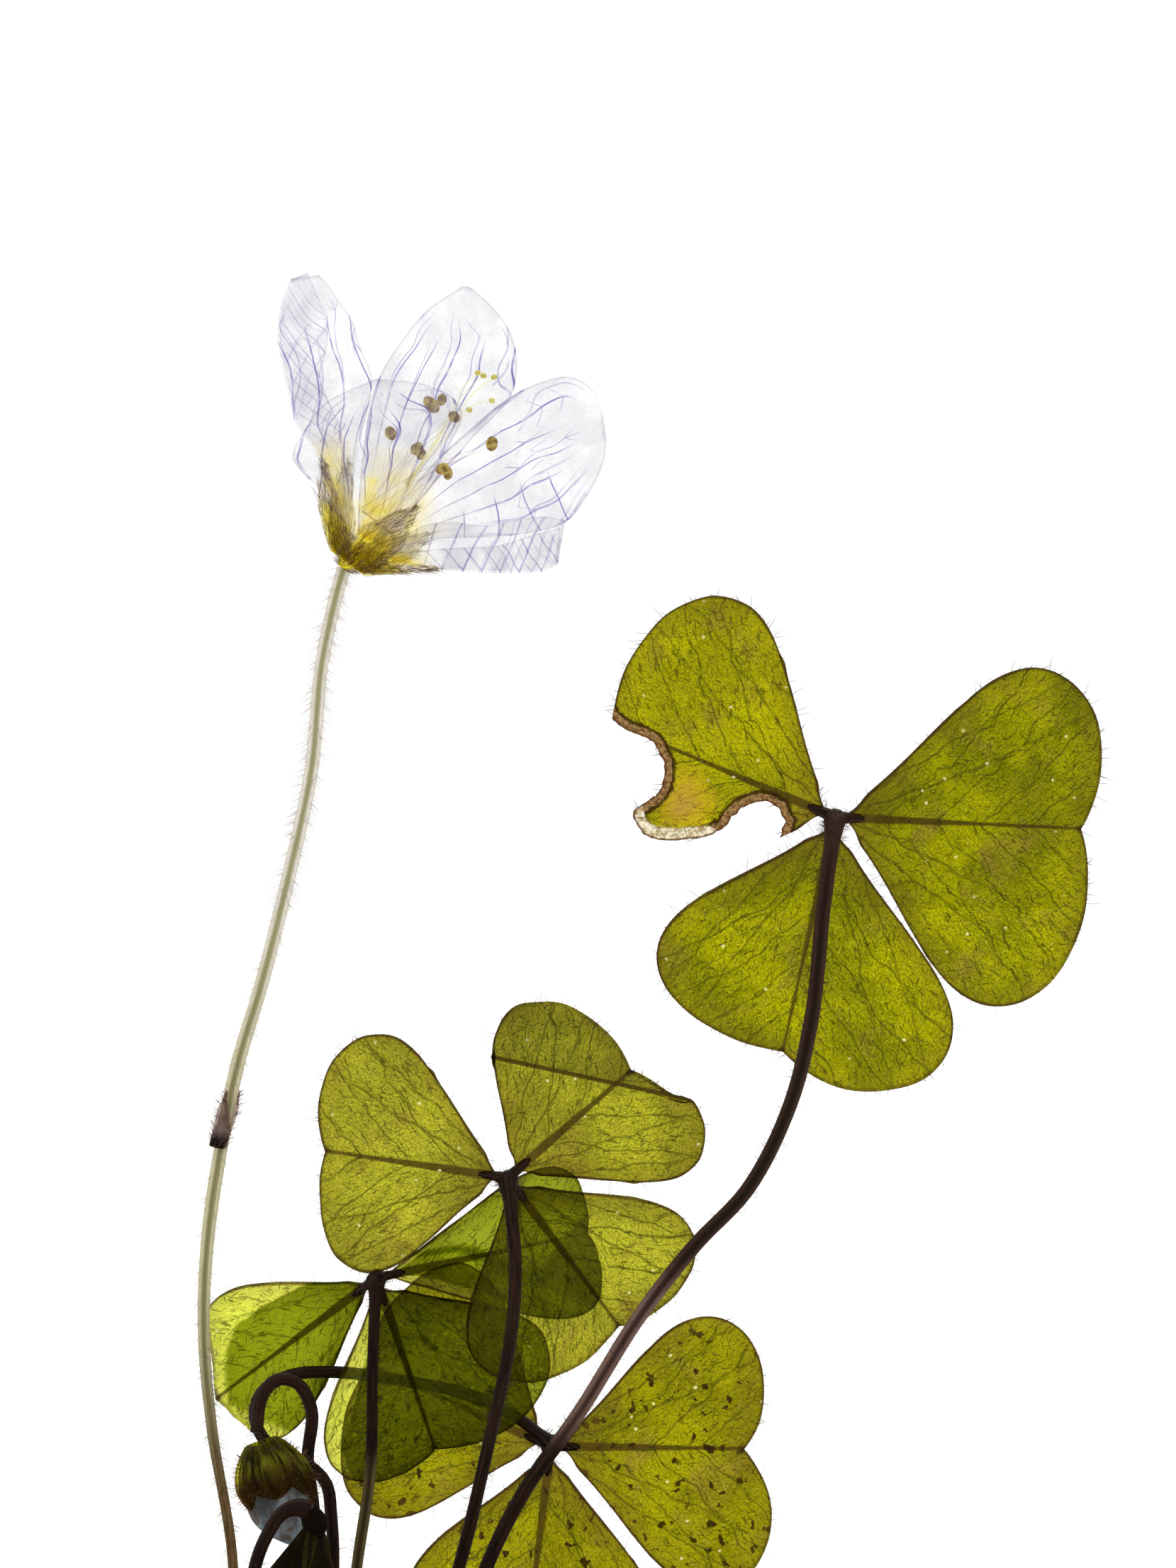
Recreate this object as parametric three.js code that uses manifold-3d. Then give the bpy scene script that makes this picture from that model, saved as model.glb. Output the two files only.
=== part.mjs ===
// Wood sorrel in a plain terracotta pot: one open flower, one nodding bud, four open leaves
// and one young folded leaf, all growing from a creeping rhizome.
// Millimetres. +Z is up, X runs to the right seen from the front, and the front faces -Y.
// The origin is the centre of the pot's underside.
import * as THREE from "three";
import { mergeVertices } from "three/addons/utils/BufferGeometryUtils.js";
import Module from "manifold-3d";

// Pot
const POT_HEIGHT = 62;
const POT_TOP_RADIUS = 35;
const POT_FOOT_RADIUS = 24;
const RIM_HEIGHT = 12;
const RIM_STEP = 2.2;
const POT_WALL = 3;
const POT_FLOOR = 4;
const POT_ROUNDING = 0.8;
const DRAIN_RADIUS = 4;
const POT_SECTORS = 36;

// Soil
const SOIL_LEVEL = 54;
const SOIL_BUMP = 0.7;
const CLEARANCE = 0.3;

// Blades and stems
const BLADE = 0.6;
const LEAFLET_START = 1.15;
const STEM_SIDES = 7;
const STEM_STEPS = 18;
const SHOULDER = 0.62; // where a straight side meets its round lobe, as a share of the reach
const LOBE_PEAK = 0.38; // where the lobe reaches furthest, from the notch to the side
const WAIST = 0.35; // how much narrower than its spread a leaflet is at its base
const EYE_DISTANCE = 400; // the leaves' outlines are as seen from here, level with EYE_HEIGHT
const EYE_HEIGHT = 117;
const EYE_X = 5.7;

const wasm = await Module();
wasm.setup();

// Solids from geometries, and back

function solid(geometry) {
  const bare = geometry.clone();
  bare.deleteAttribute("normal");
  bare.deleteAttribute("uv");
  const merged = mergeVertices(bare, 1e-4);
  const made = new wasm.Manifold(
    new wasm.Mesh({
      numProp: 3,
      vertProperties: new Float32Array(merged.attributes.position.array),
      triVerts: new Uint32Array(merged.index.array),
    }),
  );
  return made;
}

function geometryOf(manifold) {
  const mesh = manifold.getMesh();
  const geometry = new THREE.BufferGeometry();
  geometry.setAttribute("position", new THREE.BufferAttribute(mesh.vertProperties, mesh.numProp));
  geometry.setIndex(new THREE.BufferAttribute(mesh.triVerts, 1));
  return geometry;
}

function fuse(geometries) {
  return geometryOf(geometries.map(solid).reduce((sum, next) => sum.add(next)));
}

function cut(body, tool) {
  return geometryOf(solid(body).subtract(solid(tool)));
}

// A place seen at (x, z) from the front and lying at depth y
function seen(x, z, y) {
  const scale = (EYE_DISTANCE + y) / EYE_DISTANCE;
  return new THREE.Vector3(
    EYE_X + (x - EYE_X) * scale,
    y,
    EYE_HEIGHT + (z - EYE_HEIGHT) * scale,
  );
}

// A stem is a cylinder bent along a smooth curve. route holds [x, z, y] points, and radiusAt
// gives the radius at a share 0 to 1 of the length.
function stem(route, radiusAt, steps, sides = STEM_SIDES) {
  const curve = new THREE.CatmullRomCurve3(route.map((p) => seen(...p)), false, "centripetal");
  const frames = curve.computeFrenetFrames(steps, false);
  const tube = new THREE.CylinderGeometry(1, 1, 1, sides, steps);
  const place = tube.attributes.position;
  for (let i = 0; i < place.count; i++) {
    const share = place.getY(i) + 0.5;
    const ring = Math.round(share * steps);
    const across = frames.normals[ring].clone();
    const other = across.clone().cross(frames.tangents[ring]);
    const centre = curve.getPointAt(ring / steps);
    const radius = radiusAt(share);
    centre.addScaledVector(across, place.getX(i) * radius);
    centre.addScaledVector(other, place.getZ(i) * radius);
    place.setXYZ(i, centre.x, centre.y, centre.z);
  }
  return tube;
}

// A blade is a thin sheet over a grid, split into triangles alike on both faces. point(u, v)
// gives its middle surface for u and v from 0 to 1.
function blade(point, rows, columns, thickness = BLADE) {
  const step = 1e-3;
  const places = [];
  for (const side of [0.5, -0.5]) {
    for (let i = 0; i <= rows; i++) {
      for (let j = 0; j <= columns; j++) {
        const u = i / rows;
        const v = j / columns;
        const alongU = point(Math.min(1, u + step), v).sub(point(Math.max(0, u - step), v));
        const alongV = point(u, Math.min(1, v + step)).sub(point(u, Math.max(0, v - step)));
        const normal = alongU.cross(alongV).normalize();
        places.push(...point(u, v).addScaledVector(normal, side * thickness).toArray());
      }
    }
  }
  const across = columns + 1;
  const other = (rows + 1) * across;
  const faces = [];
  for (let i = 0; i < rows; i++) {
    for (let j = 0; j < columns; j++) {
      const a = i * across + j;
      const b = a + across;
      faces.push(a, b, b + 1, a, b + 1, a + 1);
      faces.push(other + a, other + b + 1, other + b, other + a, other + a + 1, other + b + 1);
    }
  }
  const rim = [];
  for (let j = 0; j < columns; j++) rim.push(j);
  for (let i = 0; i < rows; i++) rim.push(i * across + columns);
  for (let j = columns; j > 0; j--) rim.push(rows * across + j);
  for (let i = rows; i > 0; i--) rim.push(i * across);
  rim.forEach((a, k) => {
    const b = rim[(k + 1) % rim.length];
    faces.push(a, b, other + b, a, other + b, other + a);
  });
  const geometry = new THREE.BufferGeometry();
  geometry.setAttribute("position", new THREE.Float32BufferAttribute(places, 3));
  geometry.setIndex(faces);
  return geometry;
}

// Leaflets. Seen from the front, a leaflet is a wedge with straight sides and two round lobes
// with a notch between them. Angles are in degrees, anticlockwise from +X.

function lobeOutline(share, notch, half) {
  const angle = half.spread * Math.sin((share * Math.PI) / 2);
  if (share < LOBE_PEAK) {
    const inwards = 1 - share / LOBE_PEAK;
    return { angle, reach: half.reach - (half.reach - notch) * inwards ** 2 };
  }
  const outwards = (share - LOBE_PEAK) / (1 - LOBE_PEAK);
  return { angle, reach: half.reach * (1 - (1 - SHOULDER) * outwards ** 2) };
}

// shape: direction, notch, ahead and behind (each a spread and a reach; ahead is the
// anticlockwise half), and how it leans: leanX and leanZ are the depth gained for each
// millimetre right and up, droop the depth gained at the tip, fold the depth lost for each
// millimetre away from the midrib, crease a line past which it bends away.
function leafletPoint(hub, shape) {
  return (u, v) => {
    const turn = 2 * v - 1;
    const half = turn > 0 ? shape.ahead : shape.behind;
    const outline = lobeOutline(Math.abs(turn), shape.notch, half);
    const narrowing = 1 - WAIST * (1 - u) ** 2;
    const offset = THREE.MathUtils.degToRad(Math.sign(turn) * outline.angle * narrowing);
    const angle = THREE.MathUtils.degToRad(shape.direction) + offset;
    const radius = LEAFLET_START + (outline.reach - LEAFLET_START) * u;
    const dx = radius * Math.cos(angle);
    const dz = radius * Math.sin(angle);
    let depth = hub.y + shape.leanX * dx + shape.leanZ * dz;
    depth += (shape.droop || 0) * (radius / shape.notch) ** 2;
    depth -= (shape.fold || 0) * radius * Math.abs(Math.sin(offset));
    if (shape.crease) {
      const past = dz - shape.crease.z - shape.crease.slope * dx;
      depth += shape.crease.steep * Math.max(0, past);
    }
    return seen(hub.x + dx, hub.z + dz, depth);
  };
}

function leaflet(hub, shape, rows = 5, columns = 14) {
  return blade(leafletPoint(hub, shape), rows, columns);
}

// Leaf 1, upper right. Its left leaflet is bitten.
const HUB_1 = { x: 18.3, z: 115.3, y: -7.2 };
const LEAF_1 = {
  right: {
    direction: -2.6, notch: 12.5, leanX: 0.16, leanZ: -0.32, droop: 0.8, fold: 0.1,
    ahead: { spread: 44, reach: 14.2 }, behind: { spread: 47.5, reach: 14.4 },
  },
  lower: {
    direction: 257.4, notch: 12.2, leanX: 0.1, leanZ: -0.38, droop: 1.4, fold: 0.1,
    ahead: { spread: 45.5, reach: 14.2 }, behind: { spread: 46.5, reach: 12.4 },
  },
  left: {
    direction: 157, notch: 12.4, leanX: -0.05, leanZ: -0.3, droop: 1, fold: 0.1,
    ahead: { spread: 48, reach: 14 }, behind: { spread: 48.5, reach: 13.4 },
  },
};
const PETIOLE_1 = [
  [-5.6, 52.6, -2.2], [-5.0, 56.5, -2.9], [-2.4, 68, -4.6], [0.5, 77, -6.4], [2.5, 81, -7.6],
  [5.3, 85, -8.8], [8.3, 89.8, -9.8], [11.1, 93.4, -10.3], [13.9, 96.4, -10.6],
  [16.0, 100.6, -10.7], [17.1, 105, -10.3], [17.7, 110.6, -9.3], [18.1, 113.6, -8.5],
  [18.3, 115.2, -7.4],
];
const PETIOLE_1_RADIUS = 0.42;
// What was eaten: a line of points along the margin that is left, closed well outside it
const BITE_MARGIN = [
  [6.4, 121.0], [7.4, 119.9], [8.9, 119.2], [9.6, 117.9], [9.3, 116.6], [8.0, 115.5],
  [8.8, 114.3], [11.0, 114.2], [12.4, 114.6], [13.6, 115.8], [14.9, 116.1], [15.7, 115.2],
  [15.2, 113.6],
];
const BITE_BELOW = 106;
const BITE_LEFT = 2;
const BITE_DEPTH = 40;

// Leaf 2, in the middle. Its upper leaflet is creased across, and the part past the crease
// bends away.
const HUB_2 = { x: 1.6, z: 96.9, y: -4 };
const LEAF_2 = {
  left: {
    direction: 171.5, notch: 9.4, leanX: -0.12, leanZ: -0.3, droop: 0.8, fold: 0.08,
    ahead: { spread: 47, reach: 9.7 }, behind: { spread: 46, reach: 10.7 },
  },
  upper: {
    direction: 41, notch: 8.3, leanX: 0.02, leanZ: -0.25, fold: 0.06,
    ahead: { spread: 56, reach: 9.2 }, behind: { spread: 43, reach: 10.4 },
    crease: { z: 6, slope: -0.215, steep: 1.3 },
  },
  lower: {
    direction: 307, notch: 9.4, leanX: 0.02, leanZ: -0.3, droop: 1, fold: 0.08,
    ahead: { spread: 43.5, reach: 10.5 }, behind: { spread: 53.5, reach: 10.4 },
  },
};
const PETIOLE_2 = [
  [-7.0, 52.6, -0.6], [-6.7, 56.5, -0.9], [-3.9, 68, -2.5], [-0.9, 77, -4.0], [0.6, 83.2, -5.6],
  [1.7, 88.4, -6.3], [2.0, 92.2, -6.2], [1.8, 95, -5.4], [1.6, 96.8, -4.2],
];
const PETIOLE_2_RADIUS = 0.37;

// Leaf 3, drooping behind leaf 2
const HUB_3 = { x: -5.1, z: 91.8, y: 1.5 };
const LEAF_3 = {
  left: {
    direction: 217, notch: 10.2, leanX: -0.46, leanZ: -0.46, droop: 0.6, fold: 0.05,
    ahead: { spread: 27, reach: 10 }, behind: { spread: 34, reach: 9 },
  },
  lower: {
    direction: 289, notch: 9.2, leanX: 0.16, leanZ: -0.15, droop: 0.4, fold: 0.06,
    ahead: { spread: 57, reach: 10.3 }, behind: { spread: 39, reach: 10.4 },
  },
  right: {
    direction: 12, notch: 11, leanX: 0.3, leanZ: -0.1, droop: 1.2, fold: 0.1,
    ahead: { spread: 24, reach: 11.4 }, behind: { spread: 26, reach: 11.5 },
  },
};
const PETIOLE_3 = [
  [-8.5, 52.6, -0.3], [-8.3, 56.5, -0.4], [-7.1, 68, -0.9], [-6.1, 77, -1.4], [-5.4, 82, -1.2],
  [-5.3, 86.6, -0.9], [-5.2, 89.8, -0.1], [-5.1, 91.7, 1.3],
];
const PETIOLE_3_RADIUS = 0.33;

// Leaf 4, lower right. Its petiole arches behind the middle of leaf 3, comes forward and
// turns back down.
const HUB_4 = { x: 3.8, z: 83.2, y: 8 };
const LEAF_4 = {
  right: {
    direction: -0.6, notch: 9.9, leanX: 0.12, leanZ: -0.25, droop: 0.8, fold: 0.08,
    ahead: { spread: 45.5, reach: 11.5 }, behind: { spread: 47, reach: 12.1 },
  },
  lower: {
    direction: 263, notch: 10, leanX: 0, leanZ: -0.33, droop: 1, fold: 0.08,
    ahead: { spread: 43, reach: 11.5 }, behind: { spread: 43.5, reach: 11.2 },
  },
  left: {
    direction: 156, notch: 10.2, leanX: -0.18, leanZ: -0.2, droop: 0.8, fold: 0.06,
    ahead: { spread: 47, reach: 10.7 }, behind: { spread: 48, reach: 11 },
  },
};
const PETIOLE_4 = [
  [-9.2, 52.6, 1.3], [-9.2, 56.5, 1.4], [-8.0, 68, 1.2], [-7.3, 77, 0.8], [-7.4, 79.6, 0.6],
  [-7.7, 81.4, 0.7], [-9.1, 82.6, 0.9], [-10.6, 83.3, 1.1], [-11.3, 84.6, 1.5],
  [-11.0, 85.9, 2.0], [-9.6, 86.8, 2.6], [-7.4, 87.0, 3.4], [-4.0, 86.6, 4.7], [-0.2, 85.8, 5.5],
  [2.2, 84.6, 6.0], [3.2, 83.8, 6.7], [3.8, 83.3, 7.7],
];
const PETIOLE_4_RADIUS = 0.34;

// Young folded leaf at the lower left
const YOUNG_HUB = { x: -8.3, z: 79.8, y: -6.6 };
const YOUNG_PETIOLE = [
  [-11.4, 52.6, -2.3], [-11.6, 56.5, -2.8], [-12, 68, -4.9], [-11.3, 77, -6.5],
  [-10.5, 79, -6.6], [-9.9, 79.8, -6.6], [-9.1, 80.1, -6.6], [-8.5, 79.9, -6.6],
];
const YOUNG_PETIOLE_RADIUS = 0.34;
const YOUNG_LEAFLET = { length: 8.8, width: 3.1, opening: 26, splay: 15, turns: [35, 155, 275] };

// Flower
const FLOWER_BASE = { x: -6.7, z: 128.1, y: 0.4 };
const FLOWER_TILT = 37; // from upright towards +X
const FLOWER_STALK = [
  [-11.7, 52.6, 1.4], [-11.9, 56.5, 1.6], [-12.7, 68, 2.1], [-12.4, 77, 2.4], [-13.5, 84.2, 2.6],
  [-13.9, 89, 2.6], [-13.7, 93.8, 2.4], [-13.0, 98.6, 2.2], [-12.2, 102.6, 2.0],
  [-10.9, 107, 1.7], [-9.5, 112.6, 1.4], [-8.4, 117.8, 1.1], [-7.9, 123, 0.7],
  [-7.1, 126.8, 0.5], [-6.75, 128.0, 0.4],
];
const FLOWER_STALK_RADIUS = 0.36;
const FLOWER_STALK_FOOT_RADIUS = 0.26;
const FLOWER_STALK_STEPS = 26;
const BRACT_HEIGHT = 100; // the middle of the sleeve that the two bracts make
const BRACT_LENGTH = 3;
const BRACT_RADIUS = 0.56;
const BRACT_TIP = { radius: 0.3, length: 0.9, offset: 0.34 };
const BRACT_FOOT_AT = { x: -13.2, y: 2.2 };
const BRACT_TOP_AT = { x: -12.35, y: 2.05 };

// Along the flower's own axis, from its base
const CALYX_FLOOR = 0.4;
const CALYX_DISC = 0.8;
const COROLLA_FLOOR = 1.5;
const COROLLA_DISC = 0.7;
const COROLLA_DISC_RADIUS = 1.75;
const STAMEN_FLOOR = 2.5;
const STAMEN_DISC = 0.6;
const STAMEN_DISC_RADIUS = 1;
const PISTIL_FLOOR = 3.4;
// around: degrees about the axis from the side that faces the viewer, towards the left
const SEPALS = { length: 4.4, width: 1.9, opening: 58, radius: 1.9, arounds: [60, 128, 192, 266, 340] };
const SEPAL_SHARES = { foot: 0.25, from: 0.25, to: 0.97 };
// The places of the petals' tips as seen from the front, and the petals' widths
const PETALS = [
  { tip: { x: -9.0, z: 142.9, y: -5.2 }, width: 9.8 },
  { tip: { x: 0.3, z: 141.7, y: 6 }, width: 8.4 },
  { tip: { x: -4.4, z: 136.6, y: -10 }, width: 8.8 },
  { tip: { x: 6.7, z: 135.9, y: 5.5 }, width: 10.8 },
  { tip: { x: 4.3, z: 129.0, y: -6 }, width: 8.6 },
];
const PETAL_START = 1.25;
const PETAL_OPENING = 41; // the most that a petal leans out at its foot
const PETAL_FOOT = 0.2; // width of a petal's foot as a share of its width
const CUP = 0.05;
const STAMENS = {
  count: 10, radius: 0.85, long: 6.9, short: 4.6, opening: 13, thick: 0.28, anther: 0.45,
};
const STYLES = { count: 5, start: 0.12, length: 8, opening: 6, thick: 0.22, stigma: 0.32 };
const OVARY = { radius: 0.32, height: 2 };

// Nodding bud
const BUD_BASE = { x: -11.1, z: 83.8, y: -3.6 };
const BUD_TIP = { x: -9.3, z: 78.6, y: -3.4 };
const BUD_RADIUS = 1.9;
const BUD_STALK = [
  [-9.9, 52.6, -1.6], [-9.9, 56.5, -1.7], [-9.3, 68, -1.2], [-8.1, 77, -0.8], [-8.3, 80, -0.9],
  [-8.6, 82.6, -1.4], [-8.4, 85.0, -1.8], [-9.1, 86.4, -2.3], [-10.2, 86.6, -2.8],
  [-11.0, 85.6, -3.3], [-11.2, 83.9, -3.6],
];
const BUD_STALK_RADIUS = 0.33;
const BUD_STALK_STEPS = 24;
const BUD_SECTORS = 12;
// Profiles about the bud's axis, [share of the radius, distance from the base]: the calyx is
// a cup, and the petals stand in it and out of it
const BUD_CALYX = [
  [0, 0.6], [0.44, 0.65], [0.85, 1.6], [1, 2.7], [0.93, 3.8], [0.63, 3.8], [0.63, 2.4], [0, 2],
];
const BUD_PETALS = [
  [0, 2.5], [0.41, 2.8], [0.44, 4.1], [0.83, 4.3], [0.73, 5.1], [0.34, 5.9], [0, 6.1],
];
const BUD_BRACTS = { at: [-8.4, 85.0, -1.8], radius: 0.62, stretch: 1.7 };

// Rhizome: a creeping stem with swollen scales that hold the leaf and flower stalks
const RHIZOME = [
  [-17.5, 53, 3.2], [-13, 53.6, 1.2], [-9, 53.7, -0.3], [-5, 53.6, -1.8], [-0.5, 53.2, -3],
  [4.5, 52.6, -3.2],
];
const RHIZOME_RADIUS = 1.25;
const SCALE_RADIUS = 1.15;
const SCALE_LIFT = 0.5;
const SOCKET_SLACK = 0.15;
const END_SCALES = [[-16, 53.6, 2.6], [-2.5, 53.8, -2.5], [1.2, 53.5, -3.3], [3.6, 53.2, -2.9]];
const ROOT_RADIUS = 0.5;
const RHIZOME_STEPS = 8;
const ROOT_STEPS = 5;
const COARSENESS = 1.26; // of the hollow's balls, which have fewer faces
const ROOTS = [
  [[-15.5, 52.6, 2.6], [-17, 44, 6], [-19, 33, 9], [-17, 22, 8]],
  [[-11.5, 52.6, 0.8], [-12, 42, -4], [-14, 30, -9], [-12, 19, -7]],
  [[-7, 52.6, -1], [-5, 41, 4], [-3, 28, 10], [-5, 15, 12]],
  [[-3, 52.6, -2.4], [1, 42, -7], [5, 31, -11], [8, 20, -9]],
  [[2.5, 52.2, -3], [8, 44, 0], [12, 34, 4], [11, 22, 7]],
];

// Colours
const paint = (color, roughness) =>
  new THREE.MeshStandardMaterial({ color, roughness, metalness: 0 });
const MATERIALS = {
  terracotta: paint(0xb5694a, 0.9),
  soil: paint(0x3b2c21, 1),
  rhizome: paint(0xa06a5c, 0.7),
  petiole: paint(0x4b3024, 0.6),
  leaf: paint(0x86871a, 0.6),
  deepLeaf: paint(0x5c7410, 0.6),
  flowerStalk: paint(0xc9c2a4, 0.6),
  calyx: paint(0xa39032, 0.6),
  petal: paint(0xeceaf3, 0.5),
  stamen: paint(0xe6dcc0, 0.5),
  pistil: paint(0xd9dba6, 0.5),
};

// Pot and soil

// A profile of [radius, height] points turned about Z
function turned(profile, sectors) {
  const points = profile.map(([radius, height]) => new THREE.Vector2(radius, height));
  return new THREE.LatheGeometry(points, sectors).rotateX(Math.PI / 2);
}

function innerRadius(height) {
  const slope = (POT_TOP_RADIUS - RIM_STEP - POT_FOOT_RADIUS) / POT_HEIGHT;
  return POT_FOOT_RADIUS + slope * height - POT_WALL;
}

function pot() {
  const rimFoot = POT_HEIGHT - RIM_HEIGHT;
  const neck = innerRadius(rimFoot) + POT_WALL;
  const profile = [
    [DRAIN_RADIUS, 0],
    [POT_FOOT_RADIUS - POT_ROUNDING, 0],
    [POT_FOOT_RADIUS, POT_ROUNDING],
    [neck, rimFoot],
    [POT_TOP_RADIUS - 1, rimFoot + CLEARANCE],
    [POT_TOP_RADIUS, POT_HEIGHT - POT_ROUNDING],
    [POT_TOP_RADIUS - POT_ROUNDING, POT_HEIGHT],
    [innerRadius(POT_HEIGHT) + POT_ROUNDING, POT_HEIGHT],
    [innerRadius(POT_HEIGHT), POT_HEIGHT - POT_ROUNDING],
    [innerRadius(POT_FLOOR), POT_FLOOR],
    [DRAIN_RADIUS, POT_FLOOR],
    [DRAIN_RADIUS, 0],
  ];
  return turned(profile, POT_SECTORS);
}

function soilBump(x, y) {
  const slow = Math.sin(0.31 * x + 0.7) * Math.cos(0.27 * y - 0.4);
  const quick = Math.sin(0.83 * x - 0.64 * y) * Math.cos(0.71 * y + 0.5 * x);
  return SOIL_BUMP * (0.6 * slow + 0.4 * quick);
}

function soil(rhizomeSwollen) {
  const floor = POT_FLOOR + CLEARANCE;
  const edge = innerRadius(SOIL_LEVEL) - CLEARANCE;
  const profile = [[0, floor], [innerRadius(floor) - CLEARANCE, floor]];
  for (const share of [1, 0.85, 0.68, 0.5, 0.33, 0.16, 0]) profile.push([edge * share, SOIL_LEVEL]);
  const body = turned(profile, POT_SECTORS);
  const place = body.attributes.position;
  for (let i = 0; i < place.count; i++) {
    if (place.getZ(i) < SOIL_LEVEL - 1) continue;
    const x = place.getX(i);
    const y = place.getY(i);
    const fade = 1 - (Math.hypot(x, y) / (edge + 0.01)) ** 6;
    place.setZ(i, SOIL_LEVEL + soilBump(x, y) * Math.max(0, fade));
  }
  return geometryOf(solid(body).subtract(rhizomeSwollen));
}

// Rhizome

function ball([x, z, y], radius, detail) {
  const centre = seen(x, z, y);
  const sphere = new THREE.IcosahedronGeometry(radius, detail);
  return sphere.scale(1, 1, 1.15).translate(centre.x, centre.y, centre.z);
}

const FEET = [
  { route: PETIOLE_1, radius: PETIOLE_1_RADIUS },
  { route: PETIOLE_2, radius: PETIOLE_2_RADIUS },
  { route: PETIOLE_3, radius: PETIOLE_3_RADIUS },
  { route: PETIOLE_4, radius: PETIOLE_4_RADIUS },
  { route: YOUNG_PETIOLE, radius: YOUNG_PETIOLE_RADIUS },
  { route: FLOWER_STALK, radius: FLOWER_STALK_FOOT_RADIUS },
  { route: BUD_STALK, radius: BUD_STALK_RADIUS },
];

// A route made longer at both ends
function lengthened(route, by) {
  const reach = (from, to) => {
    const gap = Math.hypot(to[0] - from[0], to[1] - from[1], to[2] - from[2]);
    return to.map((value, k) => value + ((value - from[k]) * by) / gap);
  };
  return [reach(route[1], route[0]), ...route.slice(1, -1), reach(route.at(-2), route.at(-1))];
}

// grown is how far every surface stands outside the rhizome's own: 0 for the rhizome, and the
// clearance for the hollow that it lies in, whose coarser balls are larger to stay clear
function rhizomeSolid(grown, detail, coarseness) {
  const thickness = (share) =>
    RHIZOME_RADIUS * (1 - 0.45 * (2 * share - 1) ** 4) + grown * coarseness;
  const creeping = stem(lengthened(RHIZOME, grown), thickness, RHIZOME_STEPS);
  const feet = FEET.map(({ route: [[x, z, y]] }) => [x, z + SCALE_LIFT, y]);
  const radius = (SCALE_RADIUS + grown) * coarseness;
  const scales = [...feet, ...END_SCALES].map((at) => ball(at, radius, detail));
  const rootRadius = (share) => ROOT_RADIUS * (1 - 0.4 * share) + grown;
  const roots = ROOTS.map((route) => stem(lengthened(route, grown), rootRadius, ROOT_STEPS, ROOT_STEPS));
  return [creeping, ...scales, ...roots].map(solid).reduce((sum, next) => sum.add(next));
}

// A plain hole in the rhizome for each stalk's foot, a little wider and deeper than the foot
function sockets() {
  const holes = FEET.map(({ route, radius }) => {
    const [x, z, y] = route[0];
    const deeper = [[x, z - CLEARANCE, y], ...route.slice(1)];
    return stem(deeper, () => radius + CLEARANCE + SOCKET_SLACK, STEM_STEPS);
  });
  return holes.map(solid).reduce((sum, next) => sum.add(next));
}

// Stalks

// Swells towards the hub at the top end
function petioleRadius(radius) {
  return (share) => radius * (1 + 0.35 * share ** 24 + 0.15 * (1 - share) ** 12);
}

function bitten(body) {
  const margin = BITE_MARGIN.map(([x, z]) => new THREE.Vector2(x, z));
  const outline = new THREE.Shape();
  outline.moveTo(BITE_LEFT, margin[0].y + 1);
  outline.lineTo(margin[0].x, margin[0].y);
  outline.splineThru(margin.slice(1));
  outline.lineTo(margin.at(-1).x, BITE_BELOW);
  outline.lineTo(BITE_LEFT, BITE_BELOW);
  outline.closePath();
  const options = { depth: BITE_DEPTH, bevelEnabled: false, curveSegments: 2 };
  const tool = new THREE.ExtrudeGeometry(outline, options);
  return cut(body, tool.rotateX(Math.PI / 2).translate(0, BITE_DEPTH / 2, 0));
}

// Young leaf: three leaflets, each folded along its midrib, hanging round the hub

function youngLeaflets() {
  const { length, width, opening, splay, turns } = YOUNG_LEAFLET;
  const hub = seen(YOUNG_HUB.x, YOUNG_HUB.z, YOUNG_HUB.y);
  const half = THREE.MathUtils.degToRad(opening);
  const tilt = THREE.MathUtils.degToRad(splay);
  const folded = turns.map((turn) => {
    const around = THREE.MathUtils.degToRad(turn);
    const point = (u, v) => {
      const side = 2 * v - 1;
      const across = width * (0.1 + 0.9 * Math.sin(2.1 * u)) * Math.abs(side);
      const along = length * u * (1 - 0.12 * (1 - Math.abs(side)) * u ** 3);
      const out = 0.3 + along * Math.sin(tilt) - 0.2 * across * Math.cos(half);
      const place = new THREE.Vector3(out, Math.sign(side) * across * Math.sin(half), -0.9 - along);
      return place.applyAxisAngle(new THREE.Vector3(0, 0, 1), around).add(hub);
    };
    return blade(point, 4, 6);
  });
  const knot = new THREE.IcosahedronGeometry(0.85, 1).translate(hub.x, hub.y, hub.z - 1.65);
  return fuse([knot, ...folded]);
}

// Flower and bud parts are modelled about their own axis, +Z, and then placed

function onAxis(base, tip, geometry) {
  const from = seen(base.x, base.z, base.y);
  const to = seen(tip.x, tip.z, tip.y);
  const along = to.clone().sub(from).normalize();
  const turn = new THREE.Quaternion().setFromUnitVectors(new THREE.Vector3(0, 0, 1), along);
  return geometry.applyQuaternion(turn).translate(from.x, from.y, from.z);
}

function inFlower(geometry) {
  const tilt = THREE.MathUtils.degToRad(FLOWER_TILT);
  const tip = {
    x: FLOWER_BASE.x + Math.sin(tilt),
    z: FLOWER_BASE.z + Math.cos(tilt),
    y: FLOWER_BASE.y,
  };
  return onAxis(FLOWER_BASE, tip, geometry);
}

function disc(radius, floor, thickness) {
  const round = new THREE.CylinderGeometry(radius, radius * 0.8, thickness, 12);
  return round.rotateX(Math.PI / 2).translate(0, 0, floor + thickness / 2);
}

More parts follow.
